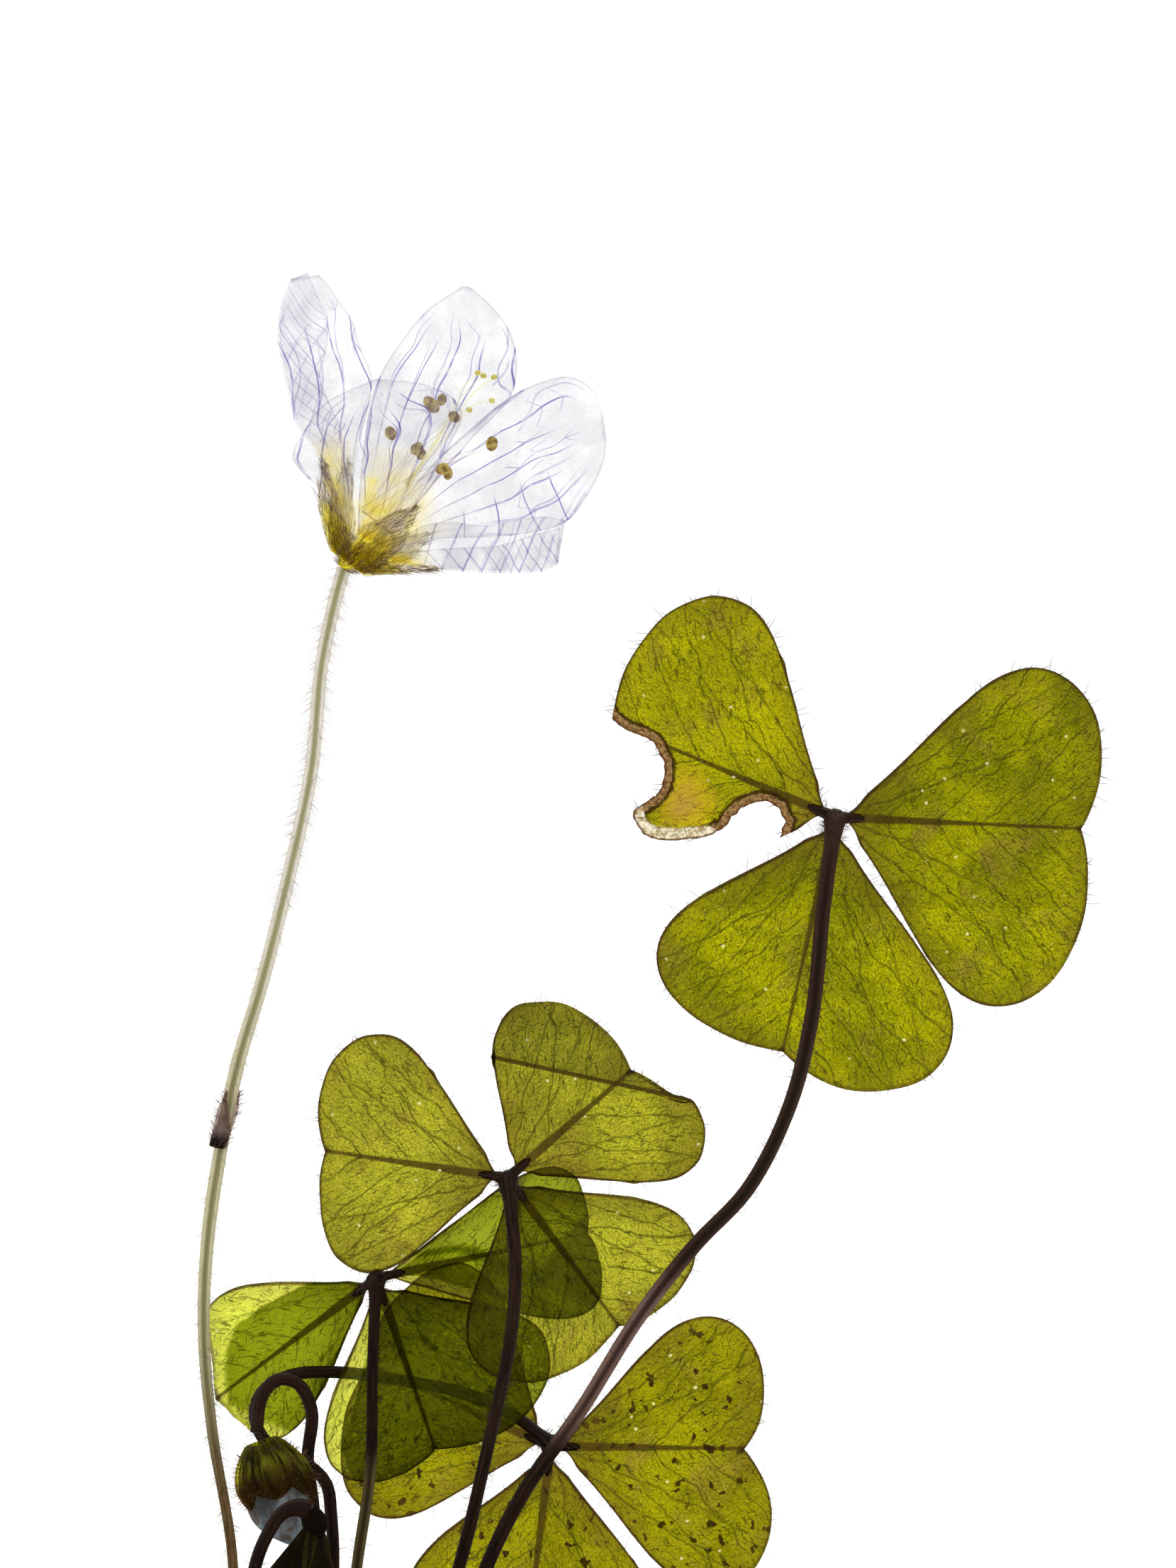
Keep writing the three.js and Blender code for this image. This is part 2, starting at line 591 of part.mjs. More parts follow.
// A petal or sepal that leaves the axis at an opening angle, which changes from its foot to
// its tip. widthAt(u) is its half width, tipAt(v) shortens it towards its edges, and cup
// bends its edges inwards.
function floral(part, start, floor, widthAt, tipAt, cup, rows, columns) {
  const around = THREE.MathUtils.degToRad(180 - part.around);
  const point = (u, v) => {
    const side = 2 * v - 1;
    const along = part.length * u * tipAt(side);
    const opening = THREE.MathUtils.degToRad(
      THREE.MathUtils.lerp(part.footOpening, part.tipOpening, u),
    );
    const across = widthAt(u) * side;
    const out = start + along * Math.sin(opening) - cup * across * across;
    const place = new THREE.Vector3(across, out, floor + along * Math.cos(opening));
    return place.applyAxisAngle(new THREE.Vector3(0, 0, 1), around);
  };
  return blade(point, rows, columns);
}

function petal({ tip, width }) {
  const floor = COROLLA_FLOOR + COROLLA_DISC / 2;
  const base = seen(FLOWER_BASE.x, FLOWER_BASE.z, FLOWER_BASE.y);
  const place = seen(tip.x, tip.z, tip.y).sub(base);
  place.applyAxisAngle(new THREE.Vector3(0, 1, 0), -THREE.MathUtils.degToRad(FLOWER_TILT));
  const out = Math.hypot(place.x, place.y) - PETAL_START;
  const up = place.z - floor;
  const tipOpening = THREE.MathUtils.radToDeg(Math.atan2(out, up));
  const part = {
    around: THREE.MathUtils.radToDeg(Math.atan2(-place.x, -place.y)),
    length: Math.hypot(out, up),
    footOpening: Math.min(PETAL_OPENING, tipOpening),
    tipOpening,
  };
  const widthAt = (u) => {
    const swell = Math.sin(Math.PI * 0.62 * u ** 1.25) ** 1.1;
    return (width / 2) * (PETAL_FOOT + (1 - PETAL_FOOT) * swell);
  };
  const tipAt = (side) => 1 - 0.22 * Math.abs(side) ** 2.8;
  return floral(part, PETAL_START, floor, widthAt, tipAt, CUP, 7, 6);
}

function sepal(around) {
  const { length, width, opening, radius } = SEPALS;
  const part = { around, length, footOpening: opening + 3, tipOpening: opening - 3 };
  const { foot, from, to } = SEPAL_SHARES;
  const widthAt = (u) => {
    const swell = Math.sin(Math.PI * THREE.MathUtils.lerp(from, to, u)) ** 0.8;
    return (width / 2) * (foot + (1 - foot) * swell);
  };
  const tipAt = () => 1;
  return floral(part, radius - 0.6, CALYX_FLOOR + CALYX_DISC / 2, widthAt, tipAt, 2 * CUP, 4, 4);
}

function calyx() {
  const sepals = SEPALS.arounds.map(sepal);
  return inFlower(fuse([disc(SEPALS.radius, CALYX_FLOOR, CALYX_DISC), ...sepals]));
}

function corolla() {
  return inFlower(fuse([disc(COROLLA_DISC_RADIUS, COROLLA_FLOOR, COROLLA_DISC), ...PETALS.map(petal)]));
}

// A straight rod from the axis out to a tip, with a small ball on its end
function rod(around, opening, start, floor, length, thick, ballRadius) {
  const bar = new THREE.CylinderGeometry(thick, thick, length, 5).rotateX(Math.PI / 2);
  bar.translate(0, 0, length / 2);
  const tip = new THREE.IcosahedronGeometry(ballRadius, 0).translate(0, 0, length);
  const lean = -THREE.MathUtils.degToRad(opening);
  return [bar, tip].map((piece) => piece.rotateX(lean).translate(0, start, floor).rotateZ(around));
}

function stamens() {
  const { count, radius, long, short, opening, thick, anther } = STAMENS;
  const pieces = [disc(STAMEN_DISC_RADIUS, STAMEN_FLOOR, STAMEN_DISC)];
  const floor = STAMEN_FLOOR + STAMEN_DISC / 2;
  for (let k = 0; k < count; k++) {
    const around = ((k + 0.5) * 2 * Math.PI) / count;
    const length = k % 2 ? long : short;
    pieces.push(...rod(around, opening, radius, floor, length, thick, anther));
  }
  return inFlower(fuse(pieces));
}

function pistil() {
  const { count, start, length, opening, thick, stigma } = STYLES;
  const { radius, height } = OVARY;
  const ovary = new THREE.IcosahedronGeometry(1, 1).scale(radius, radius, height / 2);
  const pieces = [ovary.translate(0, 0, PISTIL_FLOOR + height / 2)];
  const floor = PISTIL_FLOOR + height / 3;
  for (let k = 0; k < count; k++) {
    const around = (k * 2 * Math.PI) / count;
    pieces.push(...rod(around, opening, start, floor, length, thick, stigma));
  }
  return inFlower(fuse(pieces));
}

// The flower's stalk, thinner towards its foot, with the sleeve of its two bracts
function flowerStalk() {
  const radiusAt = (share) =>
    THREE.MathUtils.lerp(
      FLOWER_STALK_FOOT_RADIUS, FLOWER_STALK_RADIUS, THREE.MathUtils.smoothstep(share, 0.3, 0.65),
    );
  const stalk = stem(FLOWER_STALK, radiusAt, FLOWER_STALK_STEPS);
  const top = { ...BRACT_TOP_AT, z: BRACT_HEIGHT + BRACT_LENGTH / 2 };
  const foot = { ...BRACT_FOOT_AT, z: BRACT_HEIGHT - BRACT_LENGTH / 2 };
  const sleeve = new THREE.CylinderGeometry(BRACT_RADIUS * 0.85, BRACT_RADIUS, BRACT_LENGTH, 8, 1);
  sleeve.rotateX(Math.PI / 2).translate(0, 0, BRACT_LENGTH / 2);
  const tips = [BRACT_TIP.offset, -BRACT_TIP.offset].map((offset) => {
    const tip = new THREE.ConeGeometry(BRACT_TIP.radius, BRACT_TIP.length, 5).rotateX(Math.PI / 2);
    return tip.translate(offset, 0, BRACT_LENGTH + BRACT_TIP.length / 2 - 0.15);
  });
  return fuse([stalk, ...[sleeve, ...tips].map((piece) => onAxis(foot, top, piece))]);
}

function budStalk() {
  const stalk = stem(BUD_STALK, () => BUD_STALK_RADIUS, BUD_STALK_STEPS);
  const [x, z, y] = BUD_BRACTS.at;
  const centre = seen(x, z, y);
  const bracts = new THREE.IcosahedronGeometry(BUD_BRACTS.radius, 1).scale(1, 1, BUD_BRACTS.stretch);
  return fuse([stalk, bracts.translate(centre.x, centre.y, centre.z)]);
}

function budPart(profile) {
  const scaled = profile.map(([radius, height]) => [radius * BUD_RADIUS, height]);
  return onAxis(BUD_BASE, BUD_TIP, turned(scaled, BUD_SECTORS));
}

// The whole plant

const plant = new THREE.Group();

function add(name, geometry, material) {
  const mesh = new THREE.Mesh(geometry, material);
  mesh.name = name;
  plant.add(mesh);
}

function addLeaf(number, hub, leaflets, route, radius, material) {
  add(`petiole_${number}`, stem(route, petioleRadius(radius), STEM_STEPS), MATERIALS.petiole);
  for (const [side, shape] of Object.entries(leaflets)) {
    let body = leaflet(hub, shape);
    if (number === 1 && side === "left") body = bitten(body);
    add(`leaf_${number}_leaflet_${side}`, body, material);
  }
}

add("pot", pot(), MATERIALS.terracotta);
add("soil", soil(rhizomeSolid(CLEARANCE, 0, COARSENESS)), MATERIALS.soil);
add("rhizome", geometryOf(rhizomeSolid(0, 1, 1).subtract(sockets())), MATERIALS.rhizome);
addLeaf(1, HUB_1, LEAF_1, PETIOLE_1, PETIOLE_1_RADIUS, MATERIALS.leaf);
addLeaf(2, HUB_2, LEAF_2, PETIOLE_2, PETIOLE_2_RADIUS, MATERIALS.leaf);
addLeaf(3, HUB_3, LEAF_3, PETIOLE_3, PETIOLE_3_RADIUS, MATERIALS.deepLeaf);
addLeaf(4, HUB_4, LEAF_4, PETIOLE_4, PETIOLE_4_RADIUS, MATERIALS.leaf);
const youngPetiole = stem(YOUNG_PETIOLE, petioleRadius(YOUNG_PETIOLE_RADIUS), STEM_STEPS);
add("young_leaf_petiole", youngPetiole, MATERIALS.petiole);
add("young_leaf_leaflets", youngLeaflets(), MATERIALS.deepLeaf);
add("flower_stalk", flowerStalk(), MATERIALS.flowerStalk);
add("flower_calyx", calyx(), MATERIALS.calyx);
add("flower_corolla", corolla(), MATERIALS.petal);
add("flower_stamens", stamens(), MATERIALS.stamen);
add("flower_pistil", pistil(), MATERIALS.pistil);
add("bud_stalk", budStalk(), MATERIALS.petiole);
add("bud_calyx", budPart(BUD_CALYX), MATERIALS.calyx);
add("bud_petals", budPart(BUD_PETALS), MATERIALS.petal);

export default plant;
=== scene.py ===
import math
import random

import bmesh
import bpy
import numpy as np
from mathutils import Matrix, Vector, noise


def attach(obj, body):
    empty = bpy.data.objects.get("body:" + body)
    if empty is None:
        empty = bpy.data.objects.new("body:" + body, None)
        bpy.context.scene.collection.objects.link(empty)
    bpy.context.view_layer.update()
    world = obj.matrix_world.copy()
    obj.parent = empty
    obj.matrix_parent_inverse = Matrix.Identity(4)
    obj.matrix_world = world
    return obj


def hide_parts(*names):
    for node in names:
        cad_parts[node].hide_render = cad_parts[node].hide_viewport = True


# A flowering wood sorrel in a plain terracotta pot, lit from behind so that its leaves and
# petals glow. Sizes are millimetres until a mesh is made. +Z is up and the front faces -Y.

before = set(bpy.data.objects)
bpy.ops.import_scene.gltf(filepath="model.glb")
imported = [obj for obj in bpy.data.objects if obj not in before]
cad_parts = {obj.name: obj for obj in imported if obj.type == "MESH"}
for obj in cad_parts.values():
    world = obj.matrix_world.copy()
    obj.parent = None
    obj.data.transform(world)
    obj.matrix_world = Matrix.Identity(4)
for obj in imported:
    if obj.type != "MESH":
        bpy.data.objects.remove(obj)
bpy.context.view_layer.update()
MM = 0.001
CHANCE = random.Random(7)

# The view: what the picture shows at depth 0, and the eye that sees it
EYE = Vector((5.7, -400.0, 117.0))
PICTURE_HEIGHT = 80.0
PICTURE_PIXELS = 2212
PICTURE_WIDTH_PIXELS = 1659
FILM = 36.0

# Pot and soil
POT_HEIGHT = 62.0
POT_TOP_RADIUS = 35.0
POT_FOOT_RADIUS = 24.0
RIM_HEIGHT = 12.0
RIM_STEP = 2.2
POT_WALL = 3.0
POT_FLOOR = 4.0
POT_ROUNDING = 0.8
DRAIN_RADIUS = 4.0
POT_SECTORS = 128
SOIL_LEVEL = 54.0
SOIL_BUMP = 0.7
SOIL_SECTORS = 150
SOIL_RINGS = 60
CRUMBS = 420
CRUMBS_TO_A_GRAIN = 9
RIM_TAPER = 1.0
RIM_UNDERCUT = 0.3

# Where the rhizome runs near the surface: its middle in x, and the half sizes in x and y
RHIZOME_MIDDLE = -7.0
RHIZOME_HALF_LENGTH = 12
RHIZOME_HALF_WIDTH = 5

# Blades and stems
LEAF_THICKNESS = 0.3
PETAL_THICKNESS = 0.12
LEAFLET_START = 0.75
SHOULDER = 0.62
LOBE_PEAK = 0.38
WAIST = 0.22
NECK = 0.46
NECK_SHARE = 0.16
MARGIN_WAVE = 0.11
STEM_SIDES = 14
STEM_RINGS = 110
JOINT_REACHES = (0.0, 0.45, 0.9, 1.5)
KNOB_RADII = (0.56, 0.5, 0.5)
KNOB_TURN = 0.6
LEAF_GLOW = 0.72
LEAF_SEEN_THROUGH = 0.88

# Rows along and columns across the sheets that the thin parts are made from
LEAFLET_GRID = (30, 76)
PETAL_GRID = (44, 30)
SEPAL_GRID = (18, 12)
CUP_GRID = (12, 40)
BRACT_GRID = (16, 14)
ROLLED_GRID = (30, 60)
FOLD_GRID = (30, 36)
SCALE_GRID = (10, 8)

# Hairs: for each millimetre of a margin, for each square millimetre of a face, then for each piece
MARGIN_HAIRS = 2.2
FACE_HAIRS = 2.2
SEPAL_HAIRS = 240
NARROW_SEPAL_HAIRS = 120
CUP_HAIRS = 260
BRACT_HAIRS = 120
BUD_SEPAL_HAIRS = 90
FOLD_HAIRS = 260
SCALE_HAIRS = 12
HAIR_RADII = {
    "margin": 0.013, "face": 0.019, "stem": 0.014, "flower_stalk": 0.01, "sepal": 0.013,
    "cup": 0.018, "bract": 0.012, "bud": 0.017, "fold": 0.015, "scale": 0.016,
}

# Scales of the rhizome, round the foot of each stalk
SCALES = 5
SCALE_THICKNESS = 0.2

HUBS = {
    1: {"x": 18.3, "z": 115.3, "y": -7.2},
    2: {"x": 1.6, "z": 96.9, "y": -4.0},
    3: {"x": -5.1, "z": 91.8, "y": 1.5},
    4: {"x": 3.8, "z": 83.2, "y": 8.0},
}


def lobes(direction, notch, ahead, behind, lean, droop=0.0, fold=0.0, crease=None):
    """One leaflet's outline and lean, as seen from the front. ahead and behind are the spread
    in degrees and the reach of its anticlockwise and clockwise lobes."""
    return {
        "direction": direction, "notch": notch, "ahead": ahead, "behind": behind,
        "lean": lean, "droop": droop, "fold": fold, "crease": crease,
    }


LEAFLETS = {
    1: {
        "right": lobes(-2.6, 12.5, (44, 14.2), (54, 13.8), (0.16, -0.32), 0.8, 0.1),
        "lower": lobes(257.4, 12.2, (45.5, 14.2), (46.5, 12.4), (0.1, -0.38), 1.4, 0.1),
        "left": lobes(157, 12.4, (48, 14), (48.5, 13.4), (-0.05, -0.3), 1.0, 0.1),
    },
    2: {
        "left": lobes(171.5, 9.4, (47, 9.7), (46, 10.7), (-0.12, -0.3), 0.8, 0.08),
        "upper": lobes(41, 8.3, (56, 9.2), (43, 10.4), (0.02, -0.25), 0.0, 0.06,
                       {"z": 6.0, "slope": -0.215, "steep": 1.3}),
        "lower": lobes(307, 9.4, (43.5, 10.5), (53.5, 10.4), (0.02, -0.3), 1.0, 0.08),
    },
    3: {
        "left": lobes(217, 10.2, (27, 10), (34, 9), (-0.46, -0.46), 0.6, 0.05),
        "lower": lobes(289, 9.2, (57, 10.3), (39, 10.4), (0.16, -0.15), 0.4, 0.06),
        "right": lobes(12, 11, (24, 11.4), (26, 11.5), (0.3, -0.1), 1.2, 0.1),
    },
    4: {
        "right": lobes(-0.6, 9.9, (45.5, 11.5), (47, 12.1), (0.12, -0.25), 0.8, 0.08),
        "lower": lobes(263, 10, (43, 11.5), (43.5, 11.2), (0.0, -0.33), 1.0, 0.08),
        "left": lobes(156, 10.2, (51, 10.7), (48, 11), (-0.18, -0.2), 0.8, 0.06),
    },
}

# Stalk routes, (x, z, y) as seen from the front
ROUTES = {
    "petiole_1": [
        (-5.6, 52.6, -2.2), (-5.0, 56.5, -2.9), (-2.4, 68, -4.6), (0.5, 77, -6.4), (2.5, 81, -7.6),
        (5.3, 85, -8.8), (8.3, 89.8, -9.8), (11.1, 93.4, -10.3), (13.9, 96.4, -10.6),
        (16.0, 100.6, -10.7), (17.1, 105, -10.3), (17.7, 110.6, -9.3), (18.1, 113.6, -8.5),
        (18.3, 115.2, -7.4),
    ],
    "petiole_2": [
        (-7.0, 52.6, -0.6), (-6.7, 56.5, -0.9), (-3.9, 68, -2.5), (-0.9, 77, -4.0),
        (0.6, 83.2, -5.6), (1.7, 88.4, -6.3), (2.0, 92.2, -6.2), (1.8, 95, -5.4),
        (1.6, 96.8, -4.2),
    ],
    "petiole_3": [
        (-8.5, 52.6, -0.3), (-8.3, 56.5, -0.4), (-7.1, 68, -0.9), (-6.1, 77, -1.4),
        (-5.4, 82, -1.2), (-5.3, 86.6, -0.9), (-5.2, 89.8, -0.1), (-5.1, 91.7, 1.3),
    ],
    "petiole_4": [
        (-9.2, 52.6, 1.3), (-9.2, 56.5, 1.4), (-8.0, 68, 1.2), (-7.3, 77, 0.8), (-7.4, 79.6, 0.6),
        (-7.7, 81.4, 0.7), (-9.1, 82.6, 0.9), (-10.6, 83.3, 1.1), (-11.3, 84.6, 1.5),
        (-11.0, 85.9, 2.0), (-9.6, 86.8, 2.6), (-7.4, 87.0, 3.4), (-4.0, 86.6, 4.7),
        (-0.2, 85.8, 5.5), (2.2, 84.6, 6.0), (3.2, 83.8, 6.7), (3.8, 83.3, 7.7),
    ],
    "young_leaf_petiole": [
        (-11.4, 52.6, -2.3), (-11.6, 56.5, -2.8), (-12, 68, -4.9), (-11.3, 77, -6.5),
        (-10.5, 79, -6.6), (-9.9, 79.8, -6.6), (-9.1, 80.1, -6.6), (-8.5, 79.9, -6.6),
    ],
    "flower_stalk": [
        (-11.7, 52.6, 1.4), (-11.9, 56.5, 1.6), (-12.7, 68, 2.1), (-12.4, 77, 2.4),
        (-13.5, 84.2, 2.6), (-13.9, 89, 2.6), (-13.7, 93.8, 2.4), (-13.0, 98.6, 2.2),
        (-12.2, 102.6, 2.0), (-10.9, 107, 1.7), (-9.5, 112.6, 1.4), (-8.4, 117.8, 1.1),
        (-7.9, 123, 0.7), (-7.1, 126.8, 0.5), (-6.75, 128.0, 0.4),
    ],
    "bud_stalk": [
        (-9.9, 52.6, -1.6), (-9.9, 56.5, -1.7), (-9.3, 68, -1.2), (-8.1, 77, -0.8),
        (-8.3, 80, -0.9), (-8.6, 82.6, -1.4), (-8.4, 85.0, -1.8), (-9.1, 86.4, -2.3),
        (-10.2, 86.6, -2.8), (-11.0, 85.6, -3.3), (-11.2, 83.9, -3.6),
    ],
}
RADII = {
    "petiole_1": 0.37, "petiole_2": 0.33, "petiole_3": 0.29, "petiole_4": 0.32,
    "young_leaf_petiole": 0.34, "bud_stalk": 0.33, "flower_stalk": 0.36,
}
FLOWER_STALK_FOOT = 0.26

# Flower
FLOWER_BASE = (-6.7, 128.1, 0.4)
FLOWER_TILT = math.radians(37)
ANTHER_LENGTH = 0.34
FILAMENT_RADIUS = 0.17
FILAMENT_RING = 0.95
STYLE_RADIUS = 0.055
SEPAL_WIDTH = 2.7
SEPAL_FOOT = 0.74
SEPAL_THICKNESS = 0.18
NARROW_SEPAL = 2
NARROW_SEPAL_WIDTH = 1.7
BRACT_TOP = (-12.35, 101.5, 2.05)
BRACT_FOOT = (-13.2, 98.5, 2.2)
BRACT_LENGTH = 3.0
BRACT_THICKNESS = 0.14

# Bud, with the length of each sepal
BUD_BASE = (-11.1, 83.8, -3.6)
BUD_TIP = (-9.3, 78.6, -3.4)
BUD_SEPALS = (3.5, 2.7, 2.9, 3.7, 3.3)
BUD_SEPAL_THICKNESS = 0.2

# Young leaf, with each leaflet's direction about the hub and its lean outwards, in degrees
YOUNG_HUB = (-8.3, 79.8, -6.6)
YOUNG_LENGTH = 8.2
YOUNG_WIDTH = 3.4
YOUNG_THICKNESS = 0.26
YOUNG_LEAFLETS = [(12, 18), (188, 40), (275, 16)]

# Light: how strong it is from the front, from behind and from above, and the background
FRONT_LIGHT = 0.25
BACK_LIGHT = 1.15
TOP_LIGHT = 0.9
BACKGROUND = 1.05


# Places

def seen(x, z, y):
    """The point that shows at x, z from the front and lies at depth y."""
    scale = (y - EYE.y) / -EYE.y
    return Vector((EYE.x + (x - EYE.x) * scale, y, EYE.z + (z - EYE.z) * scale))


def smooth_line(points, count):
    """count + 1 points evenly along a centripetal curve through the points, as an array."""
    p = [np.array(q, float) for q in points]
    p = [2 * p[0] - p[1], *p, 2 * p[-1] - p[-2]]
    fine = []
    for k in range(1, len(p) - 2):
        a, b, c, d = p[k - 1:k + 3]
        ab, bc, cd = (max(1e-6, np.linalg.norm(n - m) ** 0.5) for m, n in ((a, b), (b, c), (c, d)))
        t1 = ((b - a) / ab - (c - a) / (ab + bc) + (c - b) / bc) * bc
        t2 = ((c - b) / bc - (d - b) / (bc + cd) + (d - c) / cd) * bc
        for t in np.linspace(0, 1, 24, endpoint=False):
            fine.append(b + t1 * t + (3 * (c - b) - 2 * t1 - t2) * t**2
                        + (2 * (b - c) + t1 + t2) * t**3)
    fine = np.array(fine + [p[-2]])
    lengths = np.concatenate(([0], np.cumsum(np.linalg.norm(np.diff(fine, axis=0), axis=1))))
    places = np.linspace(0, lengths[-1], count + 1)
    return np.column_stack([np.interp(places, lengths, fine[:, k]) for k in range(fine.shape[1])])


def picture(column, row):
    """Where a pixel of the picture shows, as (x, z) in the part."""
    size = PICTURE_HEIGHT / PICTURE_PIXELS
    return (EYE.x + (column - PICTURE_WIDTH_PIXELS / 2) * size,
            EYE.z + (PICTURE_PIXELS / 2 - row) * size)


# Pieces

def deselect():
    bpy.ops.object.select_all(action="DESELECT")


def new_object(name, data):
    """An object in the scene for a mesh or a camera."""
    made = bpy.data.objects.new(name, data)
    bpy.context.scene.collection.objects.link(made)
    return made


def finish_piece(piece, material, slot, *nodes):
    """Gives a piece its material, and ties it to the part."""
    piece.data.materials.clear()
    piece.data.materials.append(material)
    deselect()
    piece.select_set(True)
    bpy.context.view_layer.objects.active = piece
    bpy.ops.object.shade_smooth()
    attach(piece, "root")
    if nodes:
        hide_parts(*nodes)


def sheet(name, rows, columns, place):
    """A grid shaped by place(u, v), with u along its rows and v across, each from 0 to 1."""
    deselect()
    bpy.ops.mesh.primitive_grid_add(x_subdivisions=rows, y_subdivisions=columns, size=2)
    piece = bpy.context.object
    piece.name = piece.data.name = name
    shares = [((v.co.x + 1) / 2, (v.co.y + 1) / 2) for v in piece.data.vertices]
    mark(piece, "along", [u for u, v in shares])
    mark(piece, "across", [v for u, v in shares])
    for vertex, (u, v) in zip(piece.data.vertices, shares):
        vertex.co = place(u, v) * MM
    return piece


def use_modifier(piece, kind, **settings):
    """Adds a modifier and applies it."""
    modifier = piece.modifiers.new(kind.lower(), kind)
    for name, value in settings.items():
        setattr(modifier, name, value)
    deselect()
    bpy.context.view_layer.objects.active = piece
    piece.select_set(True)
    bpy.ops.object.modifier_apply(modifier=modifier.name)


def thicken(piece, thickness):
    """Gives a sheet its thickness, half of it to each side."""
    use_modifier(piece, "SOLIDIFY", thickness=thickness * MM, offset=0.0, use_even_offset=False)


def close_up(piece):
    """Merges doubled points, fills open ends and turns the faces outwards."""
    shape = bmesh.new()
    shape.from_mesh(piece.data)
    bmesh.ops.remove_doubles(shape, verts=shape.verts, dist=1e-3 * MM)
    open_edges = [e for e in shape.edges if e.is_boundary]
    if open_edges:
        bmesh.ops.holes_fill(shape, edges=open_edges, sides=0)
    bmesh.ops.recalc_face_normals(shape, faces=shape.faces)
    shape.to_mesh(piece.data)
    shape.free()


def join(name, pieces):
    """Makes one piece of several."""
    deselect()
    for piece in pieces:
        piece.select_set(True)
    bpy.context.view_layer.objects.active = pieces[0]
    if len(pieces) > 1:
        bpy.ops.object.join()
    pieces[0].name = pieces[0].data.name = name
    return pieces[0]


def mark(piece, name, values):
    """Stores one number for each vertex, for the materials to read."""
    attribute = piece.data.attributes.get(name)
    if attribute is None:
        attribute = piece.data.attributes.new(name, "FLOAT", "POINT")
    attribute.data.foreach_set("value", np.asarray(values, np.float32))


def vertices_of(piece):
    """The places of a piece's vertices, in millimetres."""
    places = np.zeros(len(piece.data.vertices) * 3)
    piece.data.vertices.foreach_get("co", places)
    return places.reshape(-1, 3) / MM


def frames_along(line):
    """Two directions across a line at each of its points, with no twist."""
    tangents = np.gradient(line, axis=0)
    tangents /= np.linalg.norm(tangents, axis=1)[:, None]
    side = np.cross(tangents[0], (0.3, 1.0, 0.1))
    sides = []
    for tangent in tangents:
        side = side - tangent * side.dot(tangent)
        side /= np.linalg.norm(side)
        sides.append(side)
    sides = np.array(sides)
    return tangents, sides, np.cross(tangents, sides)


def tube(name, line, radii, sides=STEM_SIDES):
    """A closed tube along a line of points, with a radius for each point."""
    rings = len(line) - 1
    _, across, other = frames_along(line)

    def place(u, v):
        ring = round(u * rings)
        turn = 2 * math.pi * v
        out = across[ring] * math.cos(turn) + other[ring] * math.sin(turn)
        return Vector(line[ring] + radii[ring] * out)

    piece = sheet(name, rings, sides, place)
    centres = line[[round(a.value * rings) for a in piece.data.attributes["along"].data]]
    outward = vertices_of(piece) - centres
    outward /= np.maximum(1e-6, np.linalg.norm(outward, axis=1))[:, None]
    turns = 2 * math.pi * np.array([a.value for a in piece.data.attributes["across"].data])
    mark(piece, "facing", -outward[:, 1])
    mark(piece, "side_a", np.cos(turns))
    mark(piece, "side_b", np.sin(turns))
    mark(piece, "height", vertices_of(piece)[:, 2])
    close_up(piece)
    return piece


# Hairs: each one is a thin cone that bends once

def hairs(name, roots, material, slot):
    """roots holds (place, direction, length, radius) for each hair."""
    corners, faces, tips = [], [], []
    for place, direction, length, radius in roots:
        direction = Vector(direction).normalized()
        side = direction.cross(Vector((0.31, 0.52, 0.79))).normalized()
        other = direction.cross(side)
        bend = (side * CHANCE.uniform(-1, 1) + other * CHANCE.uniform(-1, 1)) * 0.18 * length
        start = len(corners)
        place = Vector(place)
        for share, thick in ((0.0, 1.0), (0.55, 0.7)):
            centre = place + direction * length * share + bend * share**2
            for k in range(3):
                turn = 2 * math.pi * k / 3
                out = side * math.cos(turn) + other * math.sin(turn)
                corners.append((centre + out * radius * thick) * MM)
                tips.append(share)
        corners.append((place + direction * length + bend) * MM)
        tips.append(1.0)
        a, b, top = start, start + 3, start + 6
        faces.append((a, a + 2, a + 1))
        for k in range(3):
            n = (k + 1) % 3
            faces.append((a + k, a + n, b + n, b + k))
            faces.append((b + k, b + n, top))
    mesh = bpy.data.meshes.new(name)
    mesh.from_pydata(corners, [], faces)
    mesh.update()
    piece = new_object(name, mesh)
    mark(piece, "tip", tips)
    finish_piece(piece, material, slot)


def stem_hair_roots(line, radii, density, length, start=0.0, lift=0.25, kind="stem"):
    """Hairs all round a stem, density of them for each millimetre."""
    tangents, across, other = frames_along(line)
    steps = np.linalg.norm(np.diff(line, axis=0), axis=1)
    total = steps.sum()
    roots = []
    for _ in range(int(total * (1 - start) * density)):
        reach = CHANCE.uniform(start, 1) * (len(line) - 1)
        ring = min(len(line) - 2, int(reach))
        turn = CHANCE.uniform(0, 2 * math.pi)
        out = across[ring] * math.cos(turn) + other[ring] * math.sin(turn)
        centre = line[ring] + (line[ring + 1] - line[ring]) * (reach - ring)
        place = centre + out * radii[ring] * 0.94
        lean = out + tangents[ring] * CHANCE.uniform(-0.4, 0.4 + lift)
        roots.append((place, lean, length * CHANCE.uniform(0.5, 1.3), HAIR_RADII[kind]))
    return roots


# Materials

def tone(code):
    """A colour written as six hexadecimal digits, in linear light."""
    parts = [int(code[k:k + 2], 16) / 255 for k in (0, 2, 4)]
    return (*[c / 12.92 if c < 0.04045 else ((c + 0.055) / 1.055) ** 2.4 for c in parts], 1.0)


